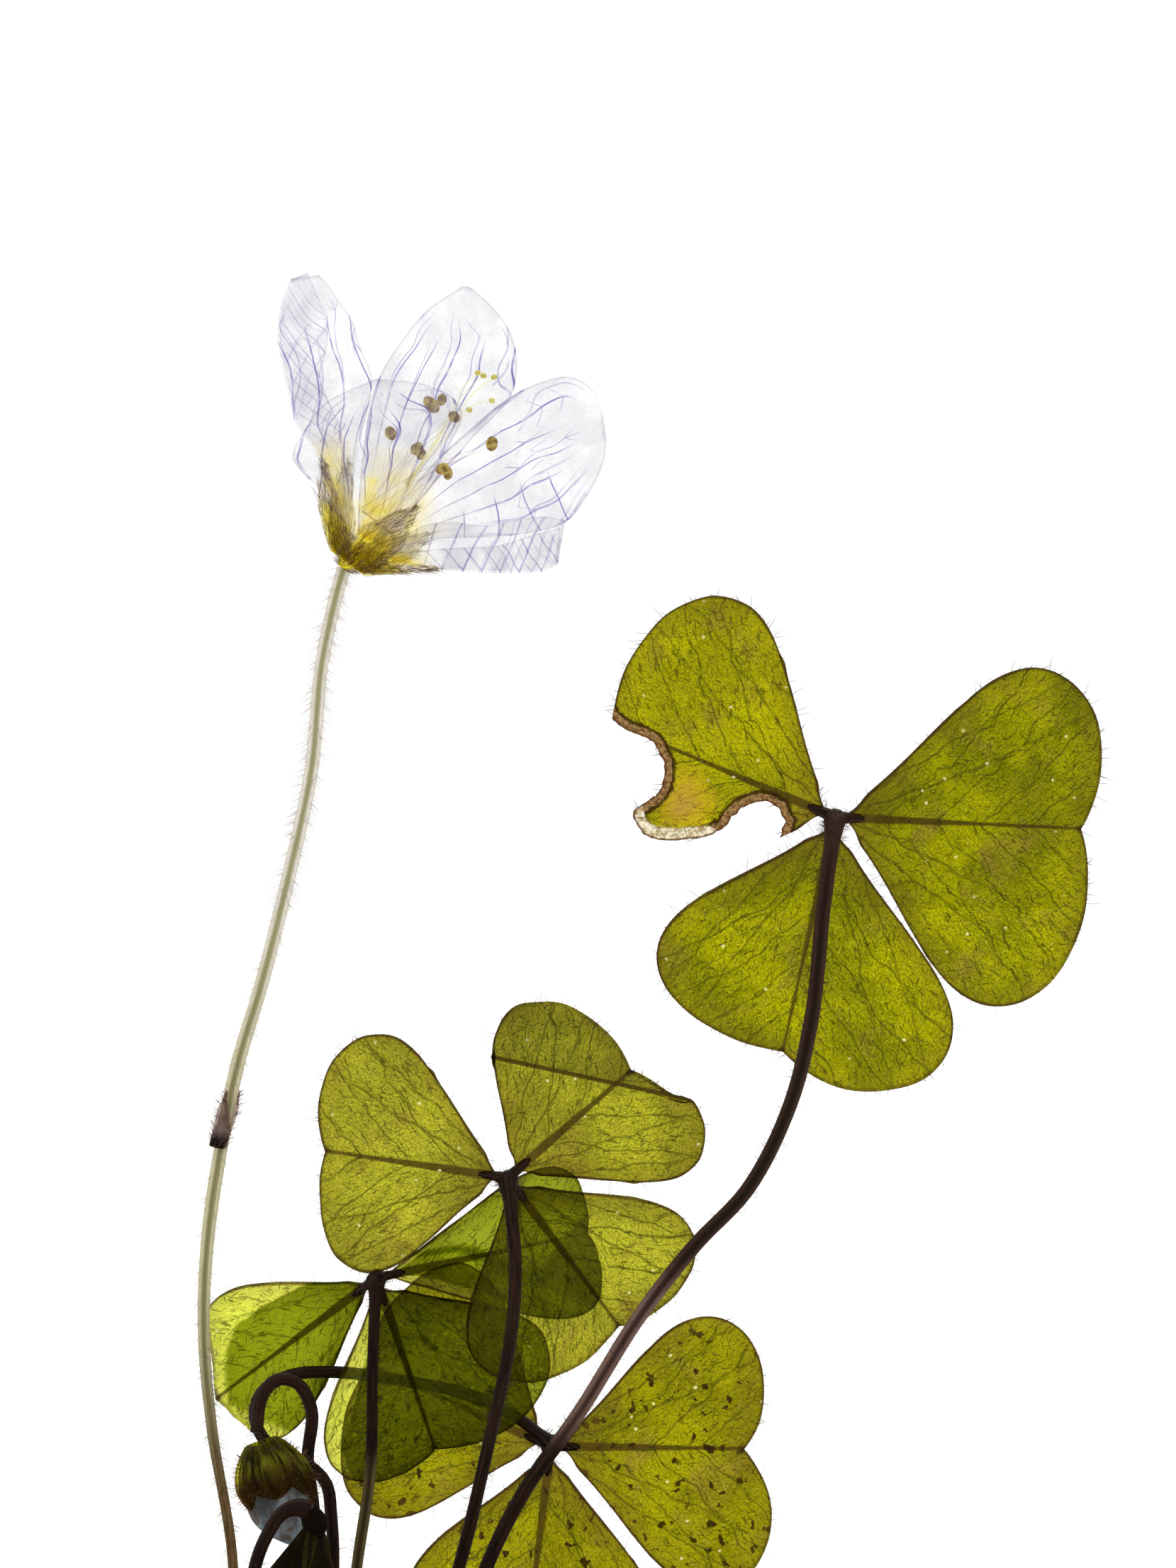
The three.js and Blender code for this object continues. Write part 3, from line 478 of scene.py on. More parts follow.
class Recipe:
    """Builds one material, or the world. Each method adds a node and hands back its output.
    A colour may be given as six hexadecimal digits."""

    def __init__(self, owner):
        self.owner = owner
        owner.use_nodes = True
        self.tree = owner.node_tree
        self.tree.nodes.clear()

    def node(self, kind, inputs=(), **settings):
        made = self.tree.nodes.new("ShaderNode" + kind)
        for name, value in settings.items():
            setattr(made, name, value)
        for name, value in dict(inputs).items():
            if isinstance(value, bpy.types.NodeSocket):
                self.tree.links.new(value, made.inputs[name])
            else:
                value = tone(value) if isinstance(value, str) else value
                made.inputs[name].default_value = value
        return made

    def calc(self, operation, a, b=0.0, clamp=False):
        made = self.node("Math", {0: a, 1: b}, operation=operation, use_clamp=clamp)
        return made.outputs[0]

    def plus(self, a, b):
        return self.calc("ADD", a, b)

    def minus(self, a, b):
        return self.calc("SUBTRACT", a, b)

    def times(self, a, b):
        return self.calc("MULTIPLY", a, b)

    def most(self, a, b):
        return self.calc("MAXIMUM", a, b)

    def least(self, a, b):
        return self.calc("MINIMUM", a, b)

    def size(self, a):
        return self.calc("ABSOLUTE", a)

    def stripes(self, a):
        """Goes to 0.5 and back to 0 as a grows by one."""
        return self.calc("PINGPONG", a, 0.5)

    def mix(self, share, a, b, how="MIX"):
        made = self.node("Mix", {0: share, 6: a, 7: b}, data_type="RGBA", blend_type=how)
        return made.outputs[2]

    def step(self, value, low, high, start=0.0, end=1.0):
        """Goes smoothly from start to end as value goes from low to high."""
        made = self.node("MapRange", {0: value, 1: low, 2: high, 3: start, 4: end},
                         interpolation_type="SMOOTHSTEP")
        return made.outputs[0]

    def rise(self, value, low, high, end=1.0):
        """A step up from nothing."""
        return self.step(value, low, high, 0.0, end)

    def fall(self, value, low, high, start=1.0):
        """A step down to nothing."""
        return self.step(value, low, high, start, 0.0)

    def attribute(self, name):
        return self.node("Attribute", attribute_name=name).outputs["Fac"]

    def place(self):
        """The place on the piece, in millimetres."""
        where = self.node("TexCoord").outputs["Object"]
        scaled = self.node("VectorMath", {0: where, "Scale": 1 / MM}, operation="SCALE")
        return scaled.outputs[0]

    def vector(self, x, y, z=0.0):
        return self.node("CombineXYZ", {0: x, 1: y, 2: z}).outputs[0]

    def noise(self, where, scale, detail=2.0, roughness=0.5, distortion=0.0):
        made = self.node("TexNoise", {"Vector": where, "Scale": scale, "Detail": detail,
                                      "Roughness": roughness, "Distortion": distortion})
        return made.outputs["Fac"]

    def sway(self, *settings):
        """Noise about nought."""
        return self.minus(self.noise(*settings), 0.5)

    def cells(self, where, scale, feature="F1", space="3D"):
        made = self.node("TexVoronoi", {"Vector": where, "Scale": scale}, feature=feature,
                         voronoi_dimensions=space)
        return made.outputs["Distance"]

    def bump(self, height, depth, strength=1.0):
        made = self.node("Bump", {"Strength": strength, "Distance": depth * MM, "Height": height})
        return made.outputs[0]

    def solid(self, colour, roughness, normal=None, gloss=0.5):
        inputs = {"Base Color": colour, "Roughness": roughness, "Specular IOR Level": gloss}
        if normal is not None:
            inputs["Normal"] = normal
        return self.node("BsdfPrincipled", inputs).outputs[0]

    def glow(self, surface, through, share, normal=None):
        """Lets light through: share of the surface is a sheet that the light shines through."""
        inputs = {"Color": through}
        if normal is not None:
            inputs["Normal"] = normal
        sheet_side = self.node("BsdfTranslucent", inputs).outputs[0]
        return self.node("MixShader", {0: share, 1: surface, 2: sheet_side}).outputs[0]

    def thin(self, colour, shine, normal, see, glow, roughness=0.55, gloss=0.25):
        """A thin or fleshy part that light comes through: see is the share that goes straight
        through each of its faces. Light crosses two faces, so each tints by the colour's root."""
        root = self.node("Gamma", {"Color": colour, "Gamma": 0.5}).outputs[0]
        lit = self.glow(self.solid(shine, roughness, normal, gloss), root, glow, normal)
        if not see:
            return lit
        clear = self.node("BsdfTransparent", {"Color": root}).outputs[0]
        return self.node("MixShader", {0: see, 1: lit, 2: clear}).outputs[0]

    def done(self, surface, kind="OutputMaterial"):
        self.node(kind, {"Surface": surface})
        return self.owner


def recipe(name):
    """A recipe for a new material."""
    return Recipe(bpy.data.materials.new(name))


def leaf_tissue(r, flat, fresh, dull, grained):
    """The blade between its veins: wide soft clouds and a fine grain."""
    colour = r.mix(r.rise(r.noise(flat, 0.24, 3, 0.55), 0.38, 0.62), dull, fresh)
    tanned = r.rise(r.noise(flat, 0.35, 3, 0.6, 0.4), 0.52, 0.72, 0.6 * grained)
    colour = r.mix(tanned, colour, "a88a3c")
    mottle = r.rise(r.noise(flat, 1.3, 3, 0.7), 0.3, 0.7)
    colour = r.mix(0.55 * grained, colour, r.mix(mottle, "c6caae", "ffffff"), "MULTIPLY")
    grain = r.rise(r.noise(flat, 8.5, 3, 0.85), 0.34, 0.66)
    colour = r.mix(grained, colour, r.mix(grain, "92966c", "fbfbf4"), "MULTIPLY")
    glints = r.rise(r.noise(flat, 8.0, 2, 0.8), 0.56, 0.7, 0.35)
    return r.mix(glints, colour, r.mix(0.6, colour, "f4ef7a"))


def leaf_veins(r, flat, along, flank, wander):
    """Rays from the foot, side veins off the midrib, forks and a fine net, from 0 to 1."""
    found = []
    for slope, bow in ((0.33, 0.010), (0.78, -0.012)):
        ray = r.minus(flank, r.times(along, slope))
        ray = r.plus(ray, r.times(r.times(along, along), -bow))
        ray = r.size(r.plus(ray, r.times(wander, 1.1)))
        found.append(r.times(r.fall(ray, 0.02, 0.11), r.step(along, 3.0, 12.0, 1.0, 0.7)))
    bent = r.minus(along, r.times(flank, 1.2))
    bent = r.plus(bent, r.times(r.times(flank, flank), 0.04))
    bent = r.plus(bent, r.times(wander, 1.8))
    stripe = r.stripes(r.times(bent, 0.4))
    found.append(r.times(r.fall(stripe, 0.008, 0.045), r.rise(bent, 0.5, 1.5)))
    for slope, pitch in ((0.35, 0.55), (1.9, 0.5)):
        fork = r.minus(along, r.times(flank, slope))
        fork = r.plus(fork, r.times(wander, 3.0))
        lines = r.stripes(r.times(fork, pitch))
        broken = r.rise(r.noise(flat, 0.9, 2), 0.42, 0.5)
        lines = r.times(r.fall(lines, 0.0, 0.035, 0.85), broken)
        found.append(r.times(lines, r.rise(flank, 1.2, 2.8)))
    net = r.cells(flat, 1.2, "DISTANCE_TO_EDGE", "2D")
    found.append(r.fall(net, 0.0, 0.05, 0.4))
    total = found[0]
    for more in found[1:]:
        total = r.most(total, more)
    return r.times(total, r.step(r.noise(flat, 1.4, 2), 0.3, 0.5, 0.55, 1.0)), bent


def leaf_finish(name, fresh, dull, specks=0.0, grained=1.0, folded=False,
                bitten=False, creased=False):
    """A leaflet. fresh and dull are the tones of the light that comes through it."""
    r = recipe(name)
    along, across = r.attribute("ahead"), r.attribute("aside")
    flank = r.size(across)
    rim, bite = r.attribute("rim"), r.attribute("bite")
    flat = r.vector(r.plus(along, r.attribute("seed")), across)
    wander = r.sway(flat, 0.5, 3)
    colour = leaf_tissue(r, flat, fresh, dull, grained)
    veins, bent = leaf_veins(r, flat, along, flank, wander)
    rib = r.step(along, 1.0, 9.0, 0.24, 0.09)
    rib_edge = r.minus(r.plus(flank, r.times(wander, 0.1)), rib)
    midrib = r.fall(rib_edge, -0.06, 0.05)
    colour = r.mix(r.times(veins, 0.35 + 0.4 * grained), colour, "3c400a")
    colour = r.mix(r.times(midrib, 0.88), colour, "3f2e10")

    # Short dark dashes along the veins, pale spots, dark specks
    streaks = r.vector(r.plus(r.times(bent, 3.6), r.attribute("seed")), r.times(along, 0.9))
    dashes = r.rise(r.noise(streaks, 1.8, 2, 0.6), 0.57, 0.65, 0.7)
    colour = r.mix(dashes, colour, "34360c")
    torn = r.plus(r.cells(flat, 0.5, space="2D"), r.times(r.noise(flat, 5.0, 2), 0.09))
    spots = r.times(r.fall(torn, 0.06, 0.1, 0.75), r.rise(r.noise(flat, 0.8, 1), 0.52, 0.57))
    colour = r.mix(spots, colour, "eeeaa8")
    if specks:
        bends = r.node("TexNoise", {"Vector": flat, "Scale": 1.1, "Detail": 3.0}).outputs["Color"]
        bends = r.node("VectorMath", {0: bends, "Scale": 1.4}, operation="SCALE").outputs[0]
        warped = r.node("VectorMath", {0: flat, 1: bends}, operation="ADD").outputs[0]
        found = r.node("TexVoronoi", {"Vector": warped, "Scale": 1.25}, voronoi_dimensions="2D")
        chance = r.node("SeparateColor", {0: found.outputs["Color"]}).outputs[0]
        size = r.times(r.minus(chance, 0.42), 0.46)
        torn = r.plus(found.outputs["Distance"], r.times(r.sway(flat, 6.0, 3), 0.3))
        marks = r.fall(r.minus(torn, size), -0.02, 0.03, specks)
        marks = r.times(marks, r.rise(r.noise(flat, 0.35, 1), 0.32, 0.42))
        colour = r.mix(marks, colour, "2a190a")

    # The foot, the margin and the notch, then what marks single leaflets: painted shade at a
    # crease and where a leaflet lies folded under itself, and a bite
    colour = r.mix(r.fall(along, 0.8, 5.0, 0.7), colour, r.mix(0.45, colour, "4a3316"))
    uneven = r.plus(rim, r.times(wander, 0.12))
    colour = r.mix(r.fall(uneven, 0.1, 1.6, 0.3), colour, "6a5a18")
    colour = r.mix(r.fall(uneven, 0.04, 0.15, 0.9), colour, "3b2413")
    colour = r.mix(r.fall(r.attribute("notch"), 0.12, 0.4, 0.85), colour, "2c1b0c")
    if creased:
        # Painted shade on the creased leaflet: the blade past the crease is dimmed, and a dark
        # line of shade runs along the fold
        bend = r.attribute("crease")
        shaded_past_crease = r.mix(1.0, colour, "d6d6e0", "MULTIPLY")
        colour = r.mix(r.rise(bend, -0.05, 0.1), colour, shaded_past_crease)
        colour = r.mix(r.fall(r.size(bend), 0.06, 0.17, 0.92), colour, "3a2c0e")
    if folded:
        # Painted shade: each folded layer that lies under a place dims its colour, as light
        # through it would
        for lowest in (0.0, 1.0):
            layer_shade = r.calc("SUBTRACT", r.attribute("doubled"), lowest, clamp=True)
            colour = r.mix(layer_shade, colour, r.mix(1.0, colour, "969e48", "MULTIPLY"))
    if bitten:
        colour = bite_tones(r, colour, flat, bite)

    # Sunken veins
    relief = r.minus(r.times(r.noise(flat, 4.5, 3), 0.5), r.times(veins, 0.5))
    relief = r.minus(relief, midrib)
    normal = r.bump(relief, 0.08, 0.5)
    shine = r.mix(0.5, colour, "5c6a18")
    return r.done(r.thin(colour, shine, normal, LEAF_SEEN_THROUGH, LEAF_GLOW))


def bite_tones(r, colour, flat, bite):
    """Dried tissue along the bite: tan outside, a dark line inside, cream where it is dead."""
    offset = r.node("VectorMath", {0: r.place(), 1: TAN_PATCH}, operation="DISTANCE")
    reach = r.plus(offset.outputs["Value"], r.times(r.noise(flat, 0.8, 3), 1.4))
    colour = r.mix(r.fall(reach, 1.2, 2.9, 0.55), colour, "d8a428")
    colour = r.mix(r.fall(reach, 0.9, 2.0, 0.6), colour, "a8864c")
    uneven = r.sway(flat, 2.2, 4, 0.7)
    ragged = r.plus(bite, r.times(uneven, 0.45))
    colour = r.mix(r.fall(ragged, 0.5, 0.66, 0.95), colour, "2e1a0a")
    crust = r.mix(r.rise(r.noise(flat, 5.0, 4, 0.85), 0.38, 0.62), "54371c", "b08a58")
    colour = r.mix(r.fall(ragged, 0.36, 0.44), colour, crust)
    cream = r.mix(r.rise(r.noise(flat, 3.0, 4, 0.8), 0.4, 0.6), "a98f60", "fbf3d6")
    colour = r.mix(r.fall(r.attribute("dead"), 0.3, 0.42), colour, cream)
    return r.mix(r.fall(r.plus(bite, r.times(uneven, 0.12)), 0.05, 0.12, 0.9), colour, "5a3214")


def stem_finish(name, light, dark, see, glow, tone_and_light_zones=()):
    """A stalk with fine streaks along it, and a painted highlight: the streaks are lighter on the
    side that faces the front. Each zone holds the heights between which the next look sets in, its
    tone and the tone of its core; each look is painted as seen from the front, the core tone down
    the middle and the outline darkened towards it, as light through a clear stalk looks."""
    r = recipe(name)
    height = r.attribute("height")
    lane = r.vector(r.times(r.attribute("side_a"), 2.4), r.times(r.attribute("side_b"), 2.4),
                    r.times(height, 0.3))
    streak = r.rise(r.noise(lane, 1.5, 3, 0.6), 0.35, 0.7)
    facing = r.attribute("facing")
    # Painted highlight: the light streaks show most on the side that faces the front
    colour = r.mix(r.times(streak, r.step(facing, -0.2, 0.9, 0.2, 1.0)), dark, light)
    where = r.place()
    colour = r.mix(r.rise(r.noise(where, 6.0, 2, 0.6), 0.56, 0.7, 0.6), colour,
                   r.mix(0.7, colour, "120a05"))
    turned = r.size(facing)
    # Each look is painted light as seen from the front: the core tone down the middle, the outline
    # darkened towards it
    for low, high, body, core in tone_and_light_zones:
        clear = r.mix(r.rise(turned, 0.8, 1.0, 0.95), body, core)
        clear = r.mix(r.fall(turned, 0.1, 0.4, 0.7), clear, r.mix(0.5, clear, core))
        clear = r.mix(r.rise(streak, 0.5, 1.0, 0.3), clear, core)
        colour = r.mix(r.rise(height, low, high), colour, clear)
    normal = r.bump(r.noise(lane, 3.0, 3), 0.05, 0.6)
    return r.done(r.thin(colour, colour, normal, see, glow, 0.6, 0.1))


def hair_finish(name, base, tip, glow, see=0.0):
    """Hairs that change from one tone at the root to another at the tip."""
    r = recipe(name)
    colour = r.mix(r.rise(r.attribute("tip"), 0.0, 1.0), base, tip)
    return r.done(r.thin(colour, colour, None, see, glow, 0.6, 0.5))


def petal_finish(name, see):
    """A white petal with lilac veins and a yellow foot, thin enough to see through."""
    r = recipe(name)
    along, across, lane = r.attribute("along"), r.attribute("across"), r.attribute("lane")
    where = r.place()
    wander = r.sway(where, 0.28, 1)
    lane = r.plus(lane, r.times(wander, 1.1))

    # Long veins that end at uneven heights, but run on over a folded flap, and twigs beside them
    flap = r.attribute("flap")
    luck = r.sway(r.vector(r.times(lane, 0.9), 0.0), 1.0, 1)
    height = r.plus(along, r.times(luck, 0.55))
    ends = r.most(r.fall(height, 0.78, 0.88), flap)
    main = r.fall(r.stripes(lane), 0.004, 0.038)
    main = r.times(main, ends)
    drift = r.rise(r.plus(along, r.times(wander, 0.9)), 0.45, 0.95, 0.5)
    twig = r.fall(r.stripes(r.plus(lane, drift)), 0.003, 0.028, 0.75)
    veins = r.most(main, r.times(twig, ends))

    # Short rungs that link them here and there, and the veins that cross a petal
    rung = r.plus(r.times(along, 5.0), r.times(wander, 3.0))
    rung = r.plus(rung, r.times(r.stripes(lane), 1.2))
    rung = r.fall(r.stripes(rung), 0.008, 0.035, 0.6)
    linked = r.times(r.rise(r.noise(where, 0.55, 1), 0.54, 0.58), ends)
    linked = r.times(linked, r.rise(along, 0.4, 0.5))
    linked = r.times(linked, r.minus(1.0, flap))
    veins = r.most(veins, r.times(rung, linked))
    weft = r.plus(r.attribute("weft"), r.times(wander, 0.9))
    weft = r.fall(r.stripes(weft), 0.004, 0.036, 0.9)
    veins = r.most(veins, r.times(weft, r.attribute("woven")))
    veins = r.times(veins, r.step(r.noise(where, 1.3, 2), 0.3, 0.5, 0.45, 1.0))

    # White tissue with a grey edge, inked veins and a yellow foot
    cloud = r.mix(r.rise(r.noise(where, 0.5, 3), 0.35, 0.65), "eeeef1", "ffffff")
    grain = r.rise(r.noise(where, 7.0, 2, 0.8), 0.35, 0.65)
    colour = r.mix(1.0, cloud, r.mix(grain, "f3f3f4", "ffffff"), "MULTIPLY")
    side = r.least(across, r.minus(1.0, across))
    end = r.least(side, r.times(r.minus(1.0, along), 0.6))
    colour = r.mix(r.fall(end, 0.0, 0.012, 0.38), colour, "a5a3b4")
    inked = r.mix(r.rise(along, 0.25, 0.5), "8c6ea4", "574dac")
    colour = r.mix(r.times(veins, 0.95), colour, inked)
    foot = r.plus(along, r.times(wander, 0.3))
    inside = r.step(side, 0.04, 0.3, 0.15, 1.0)
    colour = r.mix(r.times(inside, r.fall(foot, 0.2, 0.36, 0.7)), colour, "f8f1cc")
    gold = r.times(inside, r.rise(r.noise(where, 0.75, 3), 0.42, 0.6))
    colour = r.mix(r.times(gold, r.fall(foot, 0.14, 0.32, 0.8)), colour, "f4e560")
    normal = r.bump(r.minus(r.noise(where, 3.0, 3), veins), 0.04, 0.4)
    return r.done(r.thin(colour, colour, normal, see, 0.75))


def clay_finish():
    """Fired clay with turning lines, pits, a damp foot and a bloom of lime above it."""
    r = recipe("terracotta")
    where = r.place()
    clay = r.mix(r.rise(r.noise(where, 0.09, 4, 0.6), 0.35, 0.65), "a85a3a", "c97e58")
    clay = r.mix(r.rise(r.noise(where, 1.4, 4, 0.7), 0.5, 0.75, 0.5), clay, "8c4a30")
    height = r.node("SeparateXYZ", {0: where}).outputs[2]
    cloudy = r.plus(height, r.times(r.noise(where, 0.12, 4), 26.0))
    bloom = r.rise(r.noise(where, 0.35, 5, 0.7), 0.46, 0.66, 0.55)
    lime = r.times(bloom, r.step(cloudy, 30.0, 50.0, 1.0, 0.25))
    clay = r.mix(lime, clay, "ddc7b4")
    damp = r.fall(cloudy, 12.0, 24.0, 0.45)
    clay = r.mix(damp, clay, "7c432c")
    pits = r.fall(r.cells(where, 1.1), 0.05, 0.16)
    clay = r.mix(r.times(pits, 0.5), clay, "6e3a26")
    turning = r.node("TexWave", {"Vector": where, "Scale": 0.9, "Distortion": 0.8},
                     wave_type="BANDS", bands_direction="Z").outputs["Fac"]
    relief = r.plus(r.times(turning, 0.25), r.noise(where, 2.4, 5, 0.7))
    relief = r.minus(relief, r.times(pits, 0.8))
    return r.done(r.solid(clay, 0.88, r.bump(relief, 0.25, 0.8)))


def soil_finish(name, dark, light):
    """Dark crumbly matter with a few pale fibres."""
    r = recipe(name)
    where = r.place()
    colour = r.mix(r.rise(r.noise(where, 0.8, 5, 0.7), 0.35, 0.66), dark, light)
    fibre = r.rise(r.noise(where, 3.5, 3, 0.7, 1.5), 0.62, 0.72, 0.6)
    colour = r.mix(fibre, colour, "86653f")
    normal = r.bump(r.noise(where, 3.0, 6, 0.75), 0.5, 1.0)
    return r.done(r.solid(colour, 0.95, normal))


def rhizome_finish():
    """Pinkish flesh with dark lines between its scales."""
    r = recipe("rhizome")
    where = r.place()
    colour = r.mix(r.rise(r.noise(where, 0.6, 4), 0.35, 0.65), "8d4f44", "c69a80")
    scales = r.fall(r.cells(where, 0.9, "DISTANCE_TO_EDGE"), 0.0, 0.12)
    colour = r.mix(r.times(scales, 0.7), colour, "4a2a22")
    height = r.minus(r.noise(where, 3.0, 4), scales)
    return r.done(r.solid(colour, 0.6, r.bump(height, 0.25, 0.8)))


def calyx_finish(name, tones, streaked, see, streaks, glow=0.75, foot=None, pitch=1.0):
    """Sepals with fine streaks along them, of the tone streaked and the strength streaks.
    tones: at the foot, halfway and at the tip. see: the share of light that goes straight
    through at the foot and at the tip. pitch: how close together the streaks are."""
    r = recipe(name)
    where = r.place()
    along, across = r.attribute("along"), r.attribute("across")
    low, middle, high = tones
    cloud = r.sway(where, 0.9, 3)
    height = r.plus(along, r.times(cloud, 0.5))
    side = r.least(across, r.minus(1.0, across))
    margin = r.plus(side, r.times(cloud, 0.12))
    colour = r.mix(r.rise(height, 0.08, 0.35), low, middle)
    colour = r.mix(r.rise(height, 0.35, 0.7), colour, high)
    dim = r.rise(r.noise(where, 1.3, 3, 0.7), 0.5, 0.68, 0.75 * streaks)
    colour = r.mix(dim, colour, r.mix(0.5, streaked, low))
    fade = r.most(r.rise(height, 0.35, 0.95), r.fall(margin, 0.02, 0.2, 0.9))
    colour = r.mix(r.times(fade, see[1]), colour, high)
    kept = r.minus(1.0, r.times(fade, 0.3))

    # Streaks of three widths
    for lanes, pace, share in ((16.0, 1.3, 1.0), (34.0, 2.5, 0.9), (52.0, 4.0, 0.7)):
        lane = r.vector(r.times(along, pace * pitch), r.times(across, lanes * pitch))
        lines = r.rise(r.noise(lane, 1.6, 3, 0.7), 0.52, 0.6, share * streaks)
        colour = r.mix(r.times(lines, kept), colour, streaked)
    if foot:
        colour = r.mix(r.fall(along, 0.1, 0.35, 0.95), colour, foot)
    clear = r.plus(r.times(fade, see[1] - see[0]), see[0])
    normal = r.bump(r.noise(where, 3.0, 3), 0.08, 0.6)
    return r.done(r.thin(colour, colour, normal, clear, glow))


def plain_finish(name, light, dark, scale, roughness, glow, see=0.0):
    """Two tones clouded together, with a little light through."""
    r = recipe(name)
    where = r.place()
    colour = r.mix(r.rise(r.noise(where, scale, 3), 0.4, 0.62), dark, light)
    normal = r.bump(r.noise(where, scale * 3, 3), 0.05, 0.6)
    return r.done(r.thin(colour, colour, normal, see, glow, roughness))


def filament_finish(name, middle, edge, see):
    """A clear pale thread with painted shade that darkens it towards its outline as seen from the
    front.
    """
    r = recipe(name)
    where = r.place()
    # Painted shade: darker towards the outline as seen from the front, where little light comes
    # through
    turned = r.size(r.attribute("facing"))
    outline = r.plus(turned, r.times(r.noise(where, 2.5, 3), 0.25))
    colour = r.mix(r.fall(outline, 0.25, 0.6, 0.95), middle, edge)
    normal = r.bump(r.noise(where, 5.0, 3), 0.03, 0.6)
    return r.done(r.thin(colour, colour, normal, see, 0.8, 0.45))


def bud_petal_finish():
    """Rolled petals: grey-blue and half clear, with brown anthers showing dimly inside."""
    r = recipe("bud_petals")
    where = r.place()
    colour = r.mix(r.rise(r.noise(where, 0.9, 3), 0.38, 0.6), "5c6870", "a6b6c0")
    inner = r.fall(r.cells(where, 0.9), 0.36, 0.46, 0.85)
    colour = r.mix(inner, colour, "63401f")
    ring = r.stripes(r.times(r.attribute("across"), 10.0))
    colour = r.mix(r.fall(ring, 0.0, 0.1, 0.7), colour, "5b4a63")
    normal = r.bump(r.noise(where, 2.5, 3), 0.06, 0.8)
    return r.done(r.thin(colour, colour, normal, 0.35, 0.7))


def young_leaf_finish():
    """Dark brown, with an olive rim painted where the fold is thin, as the light through it would
    show.
    """
    r = recipe("young_leaf")
    where = r.place()
    along, across = r.attribute("along"), r.attribute("across")
    colour = r.mix(r.rise(r.noise(where, 0.7, 3), 0.35, 0.65), "1c1309", "352a10")
    colour = r.mix(r.rise(r.noise(where, 6.0, 2, 0.8), 0.45, 0.7, 0.4), colour, "4c4418")
    flank = r.size(r.minus(across, 0.5))
    ribs = r.stripes(r.minus(r.times(along, 6.0), r.times(flank, 7.0)))
    colour = r.mix(r.fall(ribs, 0.0, 0.1, 0.6), colour, "1c1208")
    # Painted light: an olive glow along the thin rim of the fold
    rim = r.rise(flank, 0.46, 0.49, 0.8)
    colour = r.mix(rim, colour, "5f5c1c")
    colour = r.mix(r.fall(along, 0.0, 0.12), colour, "1e140a")
    normal = r.bump(r.noise(where, 4.0, 3), 0.1, 0.8)
    return r.done(r.thin(colour, r.mix(0.5, colour, "1e160c"), normal, 0.2, 0.6, 0.7, 0.1))


# Leaflets

def leaflet_reach(share, shape, half):
    """How far the outline stands from the hub, and its angle from the midrib in degrees."""
    spread, reach = half
    angle = spread * math.sin(share * math.pi / 2)
    if share < LOBE_PEAK:
        return reach - (reach - shape["notch"]) * (1 - share / LOBE_PEAK) ** 2, angle
    outwards = (share - LOBE_PEAK) / (1 - LOBE_PEAK)
    return reach * (1 - (1 - SHOULDER) * outwards**2), angle


def lean_depth(hub, shape, dx, dz):
    """The depth of the leaflet's leaning plane at dx, dz from the hub."""
    return hub["y"] + shape["lean"][0] * dx + shape["lean"][1] * dz


def blade_depth(hub, shape, dx, dz, radius, offset):
    """That depth with the blade's droop, and its fold along the midrib."""
    depth = lean_depth(hub, shape, dx, dz) + shape["droop"] * (radius / shape["notch"]) ** 2
    return depth - shape["fold"] * radius * abs(math.sin(offset))


def leaflet_place(hub, shape, u, v):
    """Where the blade's middle surface is: (dx, dz) from the hub as seen, and its depth."""
    turn = 2 * v - 1
    half = shape["ahead"] if turn > 0 else shape["behind"]
    reach, angle = leaflet_reach(abs(turn), shape, half)
    narrowing = 1 - WAIST * (1 - u) ** 2 - NECK * max(0.0, 1 - u / NECK_SHARE) ** 1.5
    offset = math.radians(math.copysign(angle, turn) * narrowing)
    heading = math.radians(shape["direction"]) + offset
    reach += MARGIN_WAVE * noise.noise(Vector((7 * turn, shape["direction"], hub["z"])))
    radius = LEAFLET_START + (reach - LEAFLET_START) * u
    dx, dz = radius * math.cos(heading), radius * math.sin(heading)
    depth = blade_depth(hub, shape, dx, dz, radius, offset)
    if shape["crease"]:
        crease = shape["crease"]
        past = max(0.0, dz - crease["z"] - crease["slope"] * dx)
        folded = min(1.0, max(0.0, -turn / 0.2))
        dz -= past * 1.3 * folded
        depth += crease["steep"] * past * (1 - folded) + min(0.45, past) * folded
    swell = noise.noise(Vector((dx * 0.32, dz * 0.32, hub["x"])))
    depth += 0.22 * swell * u
    depth += 0.10 * math.exp(-((radius * math.sin(offset) / 0.35) ** 2)) * (1 - 0.5 * u)
    return dx, dz, depth


def distance_to(points, line):
    """Each point's distance to a line of points, all in the plane of the picture."""
    a, b = line[:-1], line[1:]
    span = b - a
    share = ((points[:, None] - a) * span).sum(2) / np.maximum(1e-9, (span**2).sum(1))
    nearest = a + np.clip(share, 0, 1)[..., None] * span
    return np.linalg.norm(points[:, None] - nearest, axis=2).min(1)


def as_seen(places):
    """The x and z at which places in the part show from the front."""
    scale = (places[:, 1] - EYE.y) / -EYE.y
    return np.column_stack([EYE.x + (places[:, 0] - EYE.x) / scale,
                            EYE.z + (places[:, 2] - EYE.z) / scale])


def outline_of(hub, shape, steps=90):
    """The leaflet's margin as seen, from one side of its foot round to the other."""
    rising = [(u, 0.0) for u in np.linspace(0, 1, 12)]
    round_end = [(1.0, v) for v in np.linspace(0, 1, steps)]
    falling = [(u, 1.0) for u in np.linspace(1, 0, 12)]
    places = [leaflet_place(hub, shape, u, v)[:2] for u, v in rising + round_end + falling]
    return np.array(places) + (hub["x"], hub["z"])


